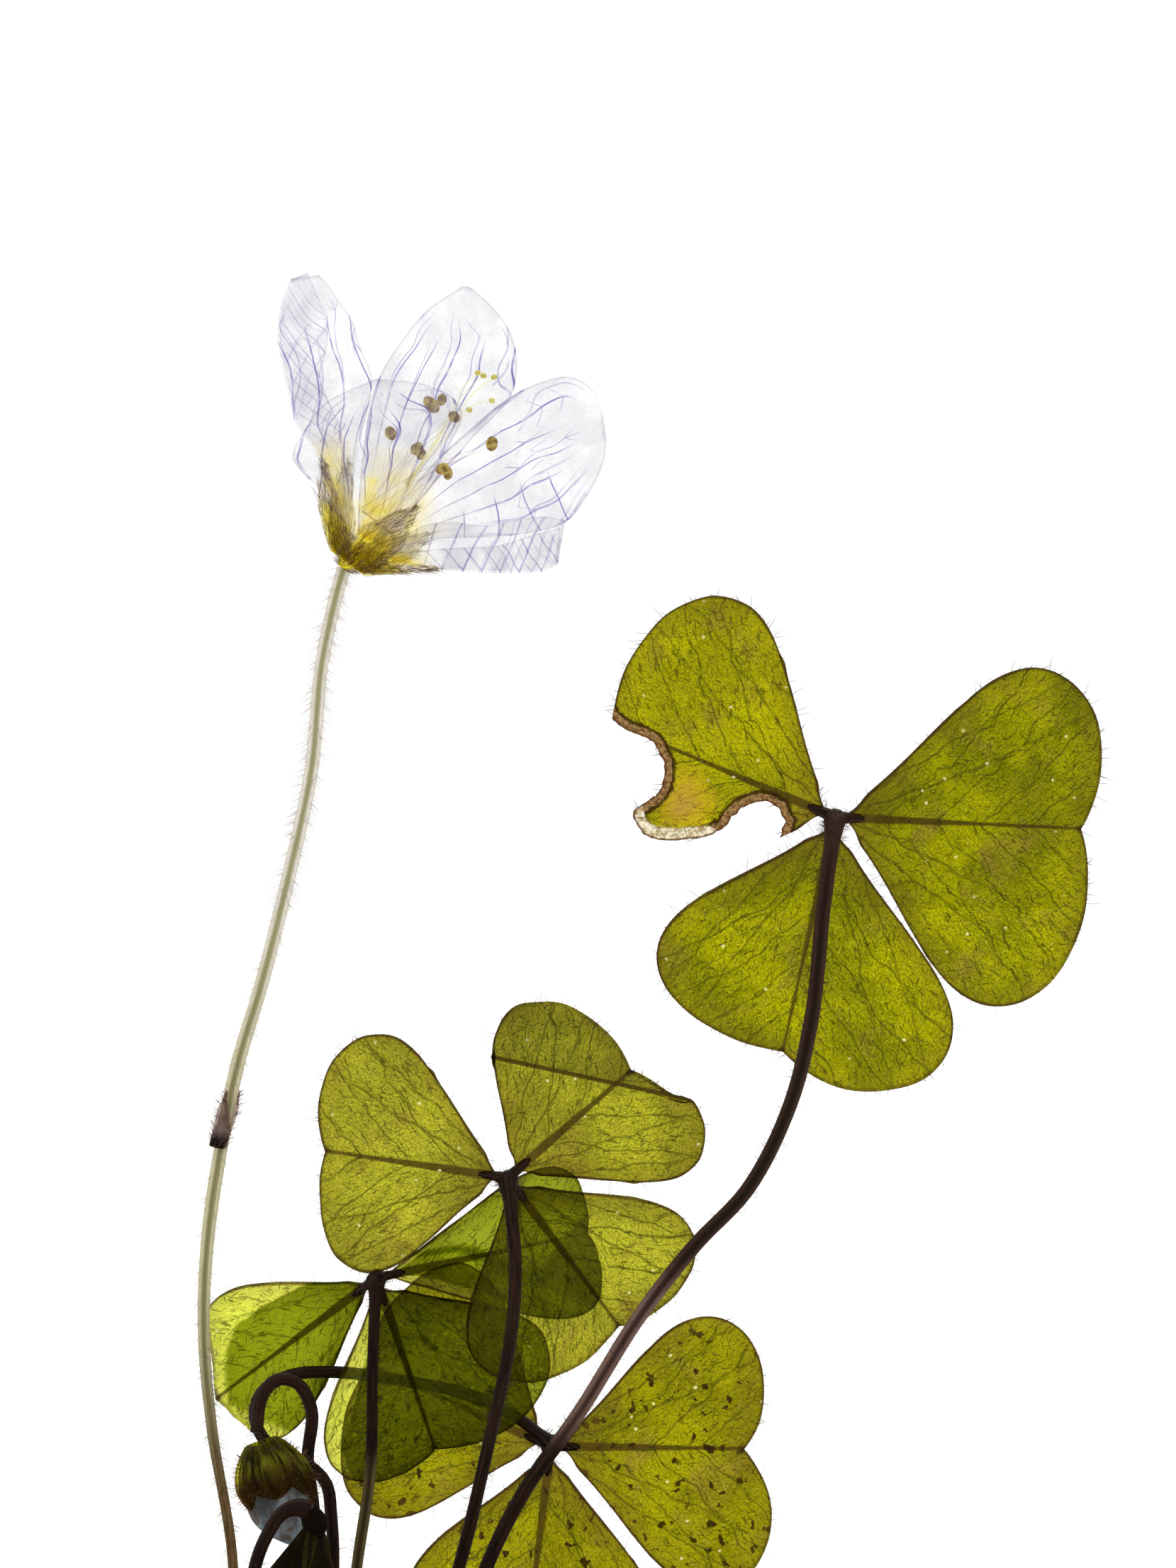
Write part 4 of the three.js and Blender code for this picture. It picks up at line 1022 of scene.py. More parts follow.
# What was eaten from the left leaflet of leaf 1, as seen
BITE_MARGIN = [
    (6.4, 121.0), (7.4, 119.9), (8.9, 119.2), (9.6, 117.9), (9.3, 116.6), (8.0, 115.5),
    (8.8, 114.3), (11.0, 114.2), (12.4, 114.6), (13.6, 115.8), (14.9, 116.1), (15.7, 115.2),
    (15.2, 113.6),
]
DEAD_STRIP = [(8.0, 116.3), (8.5, 114.8), (9.6, 114.4), (11.9, 114.5)]
TAN_PATCH = (10.5, -7.4, 116.1)
BITE_RAGGED = 0.07
BITE_LEFT = 2.0
BITE_LOWEST = 106.0
BITE_NEAR, BITE_FAR = -20, 12
EATEN = [*BITE_MARGIN, (15.2, BITE_LOWEST), (BITE_LEFT, BITE_LOWEST), (BITE_LEFT, 122.0)]

# Where leaf 3 lies folded under itself, as seen: the leaflet, the layers that it adds there,
# and a ring round the place. The layers aren't built; they are painted as shade on the leaflet
FOLDED_UNDER = [
    ("leaf_3_leaflet_left", 1.0, [
        (-5.5, 92.6), (-9.0, 91.35), (-10.8, 90.45), (-12.26, 89.36), (-12.73, 88.28),
        (-12.84, 86.83), (-12.66, 85.3), (-11.0, 84.5), (-8.6, 83.6), (-4, 86), (-4, 91),
    ]),
    ("leaf_3_leaflet_left", 0.7, [
        (-5.5, 92.6), (-6.05, 92.0), (-6.15, 90.0), (-7.0, 88.2), (-8.3, 86.6), (-9.0, 83.0),
        (-4, 83), (-4, 91),
    ]),
    ("leaf_3_leaflet_lower", 0.9, [
        (-5.4, 93.0), (-5.45, 91.0), (-5.55, 88.0), (-6.2, 85.4), (-6.95, 83.2), (-6.4, 81.7),
        (-4.0, 77.0), (10, 77), (10, 93),
    ]),
    ("leaf_3_leaflet_right", 0.9, [(-6, 92.5), (-1, 93.1), (9, 89), (9, 99), (-2, 99), (-6, 96)]),
    ("leaf_3_leaflet_right", 1.0, [
        (-4.4, 91.9), (-2.6, 93.2), (-0.7, 93.5), (1.2, 93.0), (3, 92), (9, 99), (9, 86),
        (0.6, 91.0), (-2.8, 91.9),
    ]),
]


def within(spot, ring):
    """True for a place inside a ring of points."""
    inside = False
    for k, (x1, z1) in enumerate(ring):
        x2, z2 = ring[k - 1]
        if (z1 > spot[1]) != (z2 > spot[1]):
            if spot[0] < (x2 - x1) * (spot[1] - z1) / (z2 - z1) + x1:
                inside = not inside
    return inside


def bite_line():
    """The eaten margin, made ragged."""
    line = smooth_line(BITE_MARGIN, 120)
    for k in range(len(line)):
        line[k] += BITE_RAGGED * np.array([
            noise.noise(Vector((k * 0.45, 0.0, 3.0))), noise.noise(Vector((k * 0.45, 5.0, 0.0)))
        ]) * 2
    return line


def bite_off(piece):
    """Cuts the eaten part away with a prism."""
    line = bite_line()
    ring = [*map(tuple, line), (line[-1][0], BITE_LOWEST), (BITE_LEFT, BITE_LOWEST),
            (BITE_LEFT, line[0][1] + 1)]
    cutter_mesh = bpy.data.meshes.new("bite")
    front = [seen(x, z, BITE_NEAR) * MM for x, z in ring]
    back = [seen(x, z, BITE_FAR) * MM for x, z in ring]
    count = len(ring)
    faces = [tuple(range(count)), tuple(range(2 * count - 1, count - 1, -1))]
    faces += [(k, k + count, (k + 1) % count + count, (k + 1) % count) for k in range(count)]
    cutter_mesh.from_pydata(front + back, [], faces)
    cutter = new_object("bite", cutter_mesh)
    close_up(cutter)
    use_modifier(piece, "BOOLEAN", object=cutter, operation="DIFFERENCE", solver="EXACT")
    bpy.data.objects.remove(cutter)


def leaflet(number, side, material):
    """One leaflet with its hairs along the margin and on both faces."""
    hub, shape = HUBS[number], LEAFLETS[number][side]
    name = f"leaf_{number}_leaflet_{side}"

    def place(u, v):
        dx, dz, depth = leaflet_place(hub, shape, u, v)
        return seen(hub["x"] + dx, hub["z"] + dz, depth)

    piece = sheet(name, *LEAFLET_GRID, place)
    thicken(piece, LEAF_THICKNESS)
    bitten = number == 1 and side == "left"
    if bitten:
        bite_off(piece)
    flat = as_seen(vertices_of(piece))
    outline = outline_of(hub, shape)
    from_hub = flat - (hub["x"], hub["z"])
    heading = math.radians(shape["direction"])
    ahead = np.array([math.cos(heading), math.sin(heading)])
    aside = np.array([-ahead[1], ahead[0]])
    mark(piece, "ahead", from_hub @ ahead)
    mark(piece, "aside", from_hub @ aside)
    mark(piece, "seed", np.full(len(flat), shape["direction"] / 7))
    mark(piece, "rim", distance_to(flat, outline))
    notch = leaflet_place(hub, shape, 1.0, 0.5)[:2]
    mark(piece, "notch", np.linalg.norm(from_hub - notch, axis=1))
    if shape["crease"]:
        bend = shape["crease"]
        past = from_hub[:, 1] - bend["z"] - bend["slope"] * from_hub[:, 0]
        mark(piece, "crease", past)
    far = np.full(len(flat), 9.0)
    mark(piece, "bite", distance_to(flat, bite_line()) if bitten else far)
    mark(piece, "dead", distance_to(flat, smooth_line(DEAD_STRIP, 30)) if bitten else far)
    # How many folded layers lie under each place: they aren't built, but painted as shade
    layers = np.zeros(len(flat))
    for folded_name, more, ring in FOLDED_UNDER:
        if folded_name == name:
            layers += [more * within(spot, ring) for spot in flat]
    mark(piece, "doubled", layers)
    finish_piece(piece, material, "leaf", name)
    return leaflet_hair_roots(piece, outline, hub, shape, bitten)


def leaflet_hair_roots(piece, outline, hub, shape, bitten):
    """Hairs that stand out from the margin, and short ones that lie on the faces."""
    roots = []
    spans = np.linalg.norm(np.diff(outline, axis=0), axis=1)
    centre = outline.mean(0)
    for k, span in enumerate(spans):
        for _ in range(int(span * MARGIN_HAIRS + CHANCE.random())):
            share = CHANCE.random()
            spot = outline[k] * (1 - share) + outline[k + 1] * share
            along = outline[k + 1] - outline[k]
            out = np.array([along[1], -along[0]])
            if out @ (spot - centre) < 0:
                out = -out
            out = out / max(1e-6, np.linalg.norm(out))
            out = out + CHANCE.uniform(-0.9, 0.9) * along / max(1e-6, np.linalg.norm(along))
            if bitten and within(spot, EATEN):
                continue
            depth = depth_at(hub, shape, spot)
            direction = Vector((out[0], CHANCE.uniform(-0.5, 0.5), out[1]))
            length = 0.25 + 0.8 * CHANCE.random() ** 3
            roots.append((seen(*spot, depth), direction, length, HAIR_RADII["margin"]))
    for face in piece.data.polygons:
        if CHANCE.random() > FACE_HAIRS * face.area / MM**2:
            continue
        spot = face.center / MM
        tilt = Vector([CHANCE.uniform(-1, 1) for _ in range(3)]) * 0.6
        heading = math.radians(shape["direction"] + CHANCE.uniform(-50, 50))
        flow = Vector((math.cos(heading), 0, math.sin(heading)))
        direction = face.normal * 0.35 + flow + tilt * 0.4
        roots.append((spot, direction, CHANCE.uniform(0.25, 0.6), HAIR_RADII["face"]))
    return roots


def depth_at(hub, shape, spot):
    """The blade's depth at a place on its margin."""
    dx, dz = spot[0] - hub["x"], spot[1] - hub["z"]
    radius = math.hypot(dx, dz)
    heading = math.atan2(dz, dx) - math.radians(shape["direction"])
    offset = math.remainder(heading, 2 * math.pi)
    depth = blade_depth(hub, shape, dx, dz, radius, offset)
    if shape["crease"]:
        crease = shape["crease"]
        depth += crease["steep"] * max(0.0, dz - crease["z"] - crease["slope"] * dx)
    return depth


# Stalks

def stalk_radii(name, line):
    """The radius at each point of a stalk's line."""
    count = len(line) - 1
    shares = np.linspace(0, 1, count + 1)
    radius = RADII[name]
    if name == "flower_stalk":
        grown = np.clip((shares - 0.3) / 0.35, 0, 1)
        grown = grown * grown * (3 - 2 * grown)
        radii = FLOWER_STALK_FOOT + (radius - FLOWER_STALK_FOOT) * grown
    elif name == "bud_stalk":
        radii = np.full(count + 1, radius)
    else:
        to_hub = np.linalg.norm(np.array(line)[-1] - line, axis=1)
        radii = radius * (1 + 0.3 * (1 - shares) ** 12) + 0.2 * np.exp(-((to_hub / 0.9) ** 1.5))
    wobble = [1 + 0.05 * noise.noise(Vector((k * 0.21, radius * 90, 0))) for k in range(count + 1)]
    return radii * np.array(wobble)


def stalk(name, material, slot, hub=None, leaflets=None):
    """A stalk. At its hub, a short swollen joint leads to each leaflet."""
    line = np.array([seen(*p) for p in smooth_line(ROUTES[name], STEM_RINGS)])
    radii = stalk_radii(name, line)
    pieces = [tube(name, line, radii)]
    roots = []
    if leaflets:
        for shape in leaflets.values():
            joint_line, joint_radii = joint(hub, shape, radii[-1])
            pieces.append(tube("joint", joint_line, joint_radii, 10))
            roots += stem_hair_roots(joint_line, joint_radii, density=24, length=0.45)
        knob = rounded("knob", Vector(line[-1]), KNOB_RADII, KNOB_TURN)
        shares = vertices_of(knob) - line[-1]
        mark(knob, "facing", -shares[:, 1] / 0.5)
        mark(knob, "side_a", shares[:, 0] * 2)
        mark(knob, "side_b", shares[:, 2] * 2)
        mark(knob, "height", vertices_of(knob)[:, 2])
        pieces.append(knob)
    finish_piece(join(name, pieces), material, slot, name)
    return line, radii, roots


def joint(hub, shape, radius):
    """The line and radii from the stalk's end into a leaflet's foot."""
    heading = math.radians(shape["direction"])
    ahead = (math.cos(heading), math.sin(heading))
    ends = []
    for reach in JOINT_REACHES:
        dx, dz = ahead[0] * reach, ahead[1] * reach
        ends.append(seen(hub["x"] + dx, hub["z"] + dz, lean_depth(hub, shape, dx, dz)))
    line = smooth_line(ends, 14)
    shares = np.linspace(0, 1, 15)
    return line, radius * (0.6 - 0.25 * shares) * np.where(shares > 0.9, 0.6, 1.0)


# Flower parts, placed by where they show and how deep they lie

def flower_axis(x, y, z):
    """A place about the flower's own axis, z along it from the base."""
    tilt = Vector((math.cos(FLOWER_TILT) * x + math.sin(FLOWER_TILT) * z, y,
                   -math.sin(FLOWER_TILT) * x + math.cos(FLOWER_TILT) * z))
    return seen(*FLOWER_BASE) + tilt


# Each petal's near edge, middle and far edge, as pixels of the picture from foot to tip, and
# the depths of the three at the foot and at the tip. A folded petal is folded along its middle.
# veins: how many lie side by side and how far they slant, before and behind the middle.
# weft: veins that cross them: how many, their tilt, and where they begin and end.
PETALS = {
    "left": {
        "folded": True, "veins": (6, 0, 6, 12), "weft": (9, -4, 0.5, 0.12, 0.8),
        "edges": [
            [(492, 742), (497, 690), (505, 630), (520, 570), (524, 530), (508, 490), (498, 455),
             (478, 425), (462, 402), (449, 388)],
            [(486, 738), (462, 690), (448, 640), (420, 600), (409, 560), (400, 520), (393, 473),
             (396, 440), (402, 412), (411, 394)],
            [(492, 742), (486, 690), (485, 640), (480, 607), (464, 567), (451, 533), (458, 500),
             (462, 470), (455, 437), (433, 386)],
        ],
        "depths": [(-0.9, -4.6), (-0.6, -5.4), (-0.3, -3.6)],
    },
    "upper": {
        "folded": False, "veins": (5, 0, 5, 0), "weft": (9, 0, 2, 0, 0),
        "edges": [
            [(506, 750), (508, 690), (514, 630), (524, 570), (540, 524), (571, 477), (604, 438),
             (650, 407)],
            [(514, 756), (552, 660), (595, 560), (636, 470), (657, 404)],
            [(536, 768), (580, 720), (637, 653), (670, 613), (697, 587), (720, 560), (729, 520),
             (722, 475), (700, 440), (665, 408)],
        ],
        "depths": [(1.2, 4.8), (1.4, 6.2), (1.4, 5.0)],
    },
    "front": {
        "folded": False, "veins": (6, 0, 6, 0), "weft": (9, 0, 2, 0, 0),
        "edges": [
            [(496, 748), (470, 715), (447, 685), (424, 662), (413, 643), (428, 612), (455, 572),
             (490, 553), (520, 540)],
            [(514, 760), (518, 690), (524, 610), (530, 536)],
            [(540, 772), (575, 727), (607, 675), (633, 628), (652, 585), (640, 562), (600, 543),
             (545, 537)],
        ],
        "depths": [(-1.6, -8.6), (-2.0, -10.2), (-1.6, -8.8)],
    },
    "right": {
        "folded": False, "veins": (6, 0, 6, 0), "weft": (8, 1.2, 0.58, 0.2, 0.78),
        "edges": [
            [(528, 760), (566, 708), (616, 650), (668, 602), (710, 568), (750, 545), (803, 532),
             (835, 550), (850, 590)],
            [(540, 772), (640, 712), (740, 656), (812, 628), (853, 606)],
            [(548, 780), (610, 760), (680, 757), (740, 752), (797, 736), (830, 695), (851, 650),
             (854, 622)],
        ],
        "depths": [(1.4, 5.2), (1.5, 6.0), (1.0, 4.4)],
    },
    "lower": {
        "folded": True, "veins": (2, 9, 2, 9), "weft": (9, 0, 2, 0, 0),
        "edges": [
            [(550, 782), (590, 745), (637, 737), (680, 742), (720, 736), (763, 729), (796, 734)],
            [(553, 792), (600, 800), (653, 805), (720, 807), (765, 805), (786, 796)],
            [(552, 786), (610, 776), (660, 773), (700, 771), (745, 758), (790, 745)],
        ],
        "depths": [(-0.6, -5.6), (-0.9, -6.0), (-0.2, -4.4)],
    },
}


def petal(name, facts, material):
    """A petal between its traced edges, with the lanes that its veins follow."""
    rows = PETAL_GRID[0]
    lines = []
    for edge, (foot, tip) in zip(facts["edges"], facts["depths"]):
        spots = smooth_line([picture(*pixel) for pixel in edge], rows)
        shares = np.linspace(0, 1, rows + 1)
        depths = foot + (tip - foot) * (0.35 * shares + 0.65 * shares**1.6)
        lines.append([seen(x, z, y) for (x, z), y in zip(spots, depths)])

    def place(u, v):
        row = round(u * rows)
        near, middle, far = (line[row] for line in lines)
        if facts["folded"]:
            spot = near.lerp(middle, 2 * v) if v < 0.5 else middle.lerp(far, 2 * v - 1)
        else:
            spot = (near * (2 * (v - 0.5) * (v - 1)) + middle * (-4 * v * (v - 1))
                    + far * (2 * v * (v - 0.5)))
        ripple = noise.noise(spot * 0.45 + Vector((0, 0, 20)))
        frill = noise.noise(Vector((u * 9, v * 7, len(name))))
        return spot + Vector((0, 0.45 * ripple * u + 0.25 * frill * u**3, 0))

    piece = sheet("petal_" + name, *PETAL_GRID, place)
    alongs, acrosses = ([entry.value for entry in piece.data.attributes[key].data]
                        for key in ("along", "across"))
    count, slant, back_count, back_slant = facts["veins"]
    lanes, flaps = [], []
    for u, v in zip(alongs, acrosses):
        behind = max(0.0, v - 0.5)
        turned = min(1.0, behind / 0.06)
        slope = slant + (back_slant - slant) * turned
        lanes.append(count * min(v, 0.5) + back_count * behind + slope * u)
        flaps.append(min(1.0, slope / 5))
    mark(piece, "lane", lanes)
    mark(piece, "flap", flaps)
    pitch, tilt, inner, low, high = facts["weft"]
    mark(piece, "weft", [pitch * u + tilt * (v - 0.5) for u, v in zip(alongs, acrosses)])
    mark(piece, "woven", [min(1.0, max(0.0, (v - inner) / 0.12)) * (low < u < high)
                          for u, v in zip(alongs, acrosses)])
    thicken(piece, PETAL_THICKNESS)
    finish_piece(piece, material, "petal", "flower_corolla")


# Anthers and stigmas, as pixels of the picture with their depths
ANTHERS = [
    (606, 568, -1.2), (623, 564, 0.9), (641, 588, -0.6), (551, 611, 0.4), (588, 633, -1.5),
    (694, 626, 0.3), (624, 661, -1.1), (632, 668, 1.0), (611, 573, 2.4), (594, 640, 2.2),
]
STIGMAS = [(674, 526, -0.5), (682, 530, 0.6), (697, 532, 0.1), (694, 565, -0.6), (662, 578, 0.8)]


def rounded(name, place, radii, turn, subdivisions=3):
    """An ellipsoid pinched by a groove along its length, turned in the picture's plane."""
    deselect()
    bpy.ops.mesh.primitive_ico_sphere_add(subdivisions=subdivisions, radius=1.0)
    piece = bpy.context.object
    piece.name = name
    for vertex in piece.data.vertices:
        x, y, z = vertex.co
        pinch = 1 - 0.28 * math.exp(-((x / 0.22) ** 2))
        lump = 1 + 0.12 * noise.noise(vertex.co * 2.3 + place)
        x, y, z = x * radii[0] * lump, y * radii[1] * pinch * lump, z * radii[2] * lump
        spot = Vector((x * math.cos(turn) - z * math.sin(turn), y,
                       x * math.sin(turn) + z * math.cos(turn)))
        vertex.co = (place + spot) * MM
    return piece


def stamens(filament, anther):
    """Ten filaments with anthers, standing on a ring at the petals' foot."""
    stalks, heads = [], []
    for k, (column, row, depth) in enumerate(ANTHERS):
        top = seen(*picture(column, row), depth)
        turn = 2 * math.pi * k * 0.7
        foot = flower_axis(FILAMENT_RING * math.cos(turn), FILAMENT_RING * math.sin(turn), 2.8)
        middle = (foot + top) / 2 + Vector((-0.25, depth * 0.2, 0.2))
        line = smooth_line([foot, middle, top], 24)
        radii = FILAMENT_RADIUS * np.linspace(1.35, 0.6, 25)
        stalks.append(tube("filament", line, radii, 8))
        size = ANTHER_LENGTH * CHANCE.uniform(0.9, 1.15)
        heads.append(rounded("anther", top, (size * 0.8, size * 0.75, size),
                             CHANCE.uniform(-1.2, 1.2)))
    finish_piece(join("flower_stamens", stalks), filament, "stamen", "flower_stamens")
    finish_piece(join("flower_anthers", heads), anther, "stamen", "flower_stamens")


def pistil(material, tip_material):
    """Five styles that curve apart, each with a knob, above a narrow ovary."""
    pieces, knobs = [], []
    ovary = [flower_axis(0, 0, z) for z in (3.4, 3.8, 4.4, 5.0, 5.6, 6.0)]
    line = smooth_line(ovary, 16)
    bulge = 0.08 + 0.16 * np.sin(np.linspace(0.05, math.pi - 0.2, 17))
    pieces.append(tube("ovary", line, bulge, 12))
    for k, (column, row, depth) in enumerate(STIGMAS):
        top = seen(*picture(column, row), depth)
        turn = 2 * math.pi * k / 5
        foot = flower_axis(0.1 * math.cos(turn), 0.1 * math.sin(turn), 5.2)
        upper = foot + (top - foot) * 0.82 + Vector((-0.15, 0, 0.25 if k < 3 else 0.5))
        line = smooth_line([foot, (foot + upper) / 2 + Vector((0.05, 0, 0)), upper, top], 30)
        pieces.append(tube("style", line, STYLE_RADIUS * np.linspace(1.2, 0.7, 31), 8))
        knobs.append(rounded("stigma", top, (0.17, 0.15, 0.14), CHANCE.uniform(-1, 1), 2))
    finish_piece(join("flower_pistil", pieces), material, "pistil", "flower_pistil")
    finish_piece(join("flower_stigmas", knobs), tip_material, "pistil", "flower_pistil")


# Sepals' tips, as pixels of the picture with their depths
SEPAL_TIPS = [
    (461, 655, -3.3), (588, 714, -4.0), (616, 801, -1.8), (494, 653, 3.2), (604, 752, 4.0),
]


def calyx(material):
    """A cup on the stalk's end and five sepals that hug the petals' feet."""
    def cup_place(u, v):
        turn = 2 * math.pi * v
        along = -0.15 + 1.75 * u
        radius = 0.36 + 1.15 * math.sin(u * math.pi / 2) ** 1.3
        ribs = 1 + 0.05 * math.cos(5 * turn)
        return flower_axis(radius * ribs * math.cos(turn), radius * ribs * math.sin(turn), along)

    cup = sheet("flower_calyx", *CUP_GRID, cup_place)
    close_up(cup)
    pieces = [cup]
    roots = []
    for k, (column, row, depth) in enumerate(SEPAL_TIPS):
        tip = seen(*picture(column, row), depth)
        axis = flower_axis(0, 0, 1) - flower_axis(0, 0, 0)
        away = tip - flower_axis(0, 0, 0)
        away -= axis * away.dot(axis)
        away.normalize()
        side = axis.cross(away)
        foot = flower_axis(0, 0, 0.3) + away * SEPAL_FOOT
        narrow = k == NARROW_SEPAL
        wide, bulge = (NARROW_SEPAL_WIDTH, 0.1) if narrow else (SEPAL_WIDTH, 0.35)

        def place(u, v, tip=tip, foot=foot, away=away, side=side, axis=axis, wide=wide,
                  bulge=bulge):
            width = wide / 2 * (0.55 + 0.45 * math.sin(math.pi * min(1, u * 0.75 + 0.1)))
            width *= (1 - u**1.9) ** 0.85 * 0.97 + 0.03
            width *= 1 + 0.06 * math.sin(17 * u + 5 * v)
            across = (2 * v - 1) * width
            spot = foot + (tip - foot) * u + away * bulge * math.sin(math.pi * u)
            spot += away * 0.14 * math.sin(21 * u + 9 * v) * u**2
            return spot + side * across - away * 0.13 * across**2 + axis * 0.03 * across

        piece = sheet("sepal", *SEPAL_GRID, place)
        for _ in range(NARROW_SEPAL_HAIRS if narrow else SEPAL_HAIRS):
            u, v = CHANCE.random() ** 1.3, CHANCE.random()
            spot = place(u, v)
            direction = (tip - foot).normalized() + away * CHANCE.uniform(0.05, 0.5)
            direction += side * CHANCE.uniform(-0.35, 0.35)
            length = CHANCE.uniform(0.4, 1.1)
            roots.append((spot + away * 0.1, direction, length, HAIR_RADII["sepal"]))
        thicken(piece, SEPAL_THICKNESS)
        pieces.append(piece)
    finish_piece(join("flower_calyx", pieces), material, "calyx", "flower_calyx")
    for _ in range(CUP_HAIRS):
        turn, u = CHANCE.uniform(0, 2 * math.pi), CHANCE.random()
        spot = cup_place(u, turn / (2 * math.pi))
        out = spot - flower_axis(0, 0, 0.3 + u)
        direction = out + Vector((0.3, 0, 0.4))
        roots.append((spot, direction, CHANCE.uniform(0.25, 0.6), HAIR_RADII["cup"]))
    return roots


def bracts(material):
    """A sleeve of two small leaves on the flower's stalk."""
    foot, top = seen(*BRACT_FOOT), seen(*BRACT_TOP)
    axis = (top - foot).normalized()
    pieces, roots = [], []
    for way in (1, -1):
        side = Vector((0.8 * way, way, 0)).normalized()
        across = axis.cross(side)

        def place(u, v, side=side, across=across):
            turn = (2 * v - 1) * math.radians(95) * (1 - max(0.0, (u - 0.3) / 0.7) ** 1.4)
            radius = 0.38 + 0.1 * u
            spot = foot + axis * (BRACT_LENGTH * (1 - 0.12 * abs(2 * v - 1)) * u)
            return spot + (side * math.cos(turn) + across * math.sin(turn)) * radius

        piece = sheet("bract", *BRACT_GRID, place)
        for _ in range(BRACT_HAIRS):
            u, v = CHANCE.random(), CHANCE.random()
            spot = place(u, v)
            out = spot - (foot + axis * BRACT_LENGTH * u)
            direction = out.normalized() + axis * 0.9
            roots.append((spot, direction, CHANCE.uniform(0.3, 0.75), HAIR_RADII["bract"]))
        thicken(piece, BRACT_THICKNESS)
        pieces.append(piece)
    finish_piece(join("flower_stalk_bracts", pieces), material, "flower_stalk", "flower_stalk")
    return roots


def bud(calyx_material, petal_material):
    """Five sepals round the rolled petals, hanging from the stalk's end."""
    base = seen(*BUD_BASE)
    axis = (seen(*BUD_TIP) - base).normalized()
    side = axis.cross(Vector((0, 1, 0))).normalized()
    other = axis.cross(side)

    def about(turn, radius, along):
        return base + (side * math.cos(turn) + other * math.sin(turn)) * radius + axis * along

    sepals, roots = [], []
    for k in range(5):
        middle = 2 * math.pi * k / 5 + 0.3

        def place(u, v, middle=middle, k=k):
            turn = middle + (2 * v - 1) * math.radians(50) * (1 - 0.9 * u**5)
            radius = 0.25 + 1.62 * math.sin(math.pi * min(1.0, 0.08 + 0.62 * u)) ** 0.8
            radius += 0.08 * math.cos(3 * (2 * v - 1)) + 0.05 * (k % 2)
            return about(turn, radius, 0.45 + BUD_SEPALS[k] * u)

        piece = sheet("sepal", *SEPAL_GRID, place)
        for _ in range(BUD_SEPAL_HAIRS):
            u, v = CHANCE.random(), CHANCE.random()
            spot = place(u, v)
            out = spot - (base + axis * 2.0)
            direction = out.normalized() - axis * 0.2
            roots.append((spot, direction, CHANCE.uniform(0.25, 0.6), HAIR_RADII["bud"]))
        thicken(piece, BUD_SEPAL_THICKNESS)
        sepals.append(piece)
    finish_piece(join("bud_calyx", sepals), calyx_material, "calyx", "bud_calyx")

    def rolled(u, v):
        turn = 2 * math.pi * v
        swirl = 0.1 * math.cos(5 * turn + 5 * u)
        radius = (0.35 + 1.35 * math.sin(math.pi * min(1, 0.12 + 0.74 * u)) ** 0.8) * (1 + swirl)
        radius *= max(0.02, 1 - u**5)
        return about(turn, radius, 1.2 + 4.9 * u)

    core = sheet("bud_petals", *ROLLED_GRID, rolled)
    close_up(core)
    finish_piece(core, petal_material, "bud_petal", "bud_petals")
    return roots


def young_leaf(material):
    """Three leaflets folded along their midribs, hanging round the hub."""
    hub = seen(*YOUNG_HUB)
    pieces, roots = [], []
    for turn, lean in YOUNG_LEAFLETS:
        around, tilt = math.radians(turn), math.radians(lean)
        out = Vector((math.cos(around), math.sin(around), 0))
        aside = Vector((-out.y, out.x, 0))
        down = out * math.sin(tilt) - Vector((0, 0, math.cos(tilt)))
        inwards = Vector((0, 0, -math.sin(tilt))) - out * math.cos(tilt)

        def place(u, v, aside=aside, down=down, inwards=inwards, turn=turn):
            side = 2 * v - 1
            wide = YOUNG_WIDTH * (0.08 + 0.92 * math.sin(2.1 * u) ** 0.8) * abs(side)
            spot = hub - Vector((0, 0, 0.3)) + down * YOUNG_LENGTH * u * (1 - 0.1 * abs(side))
            spot += inwards * wide * 0.62 + aside * math.copysign(wide * 0.42, side)
            return spot + aside * 0.15 * noise.noise(Vector((u * 5, wide, turn)))

        piece = sheet("fold", *FOLD_GRID, place)
        for _ in range(FOLD_HAIRS):
            u, v = CHANCE.random(), CHANCE.choice((CHANCE.random(), 0.02, 0.98, 0.5))
            spot = place(u, v)
            direction = out * CHANCE.uniform(-0.3, 1) + Vector((0, 0, -0.4))
            direction += Vector([CHANCE.uniform(-0.8, 0.8) for _ in range(3)])
            roots.append((spot, direction, CHANCE.uniform(0.25, 0.6), HAIR_RADII["fold"]))
        thicken(piece, YOUNG_THICKNESS)
        pieces.append(piece)
    knot_line = smooth_line([hub + Vector((-0.2, 0, 0.15)), hub + Vector((0.05, 0, -0.5)),
                             hub + Vector((0.1, 0, -1.3))], 12)
    knot = tube("knot", knot_line, 0.34 + 0.3 * np.sin(np.linspace(0.3, math.pi, 13)), 14)
    mark(knot, "along", np.zeros(len(knot.data.vertices)))
    pieces.append(knot)
    finish_piece(join("young_leaf_leaflets", pieces), material, "young_leaf",
                 "young_leaf_leaflets")
    return roots


# Pot and soil

def inner_radius(height):
    """How far the pot's inner face stands from the axis at a height."""
    slope = (POT_TOP_RADIUS - RIM_STEP - POT_FOOT_RADIUS) / POT_HEIGHT
    return POT_FOOT_RADIUS + slope * height - POT_WALL


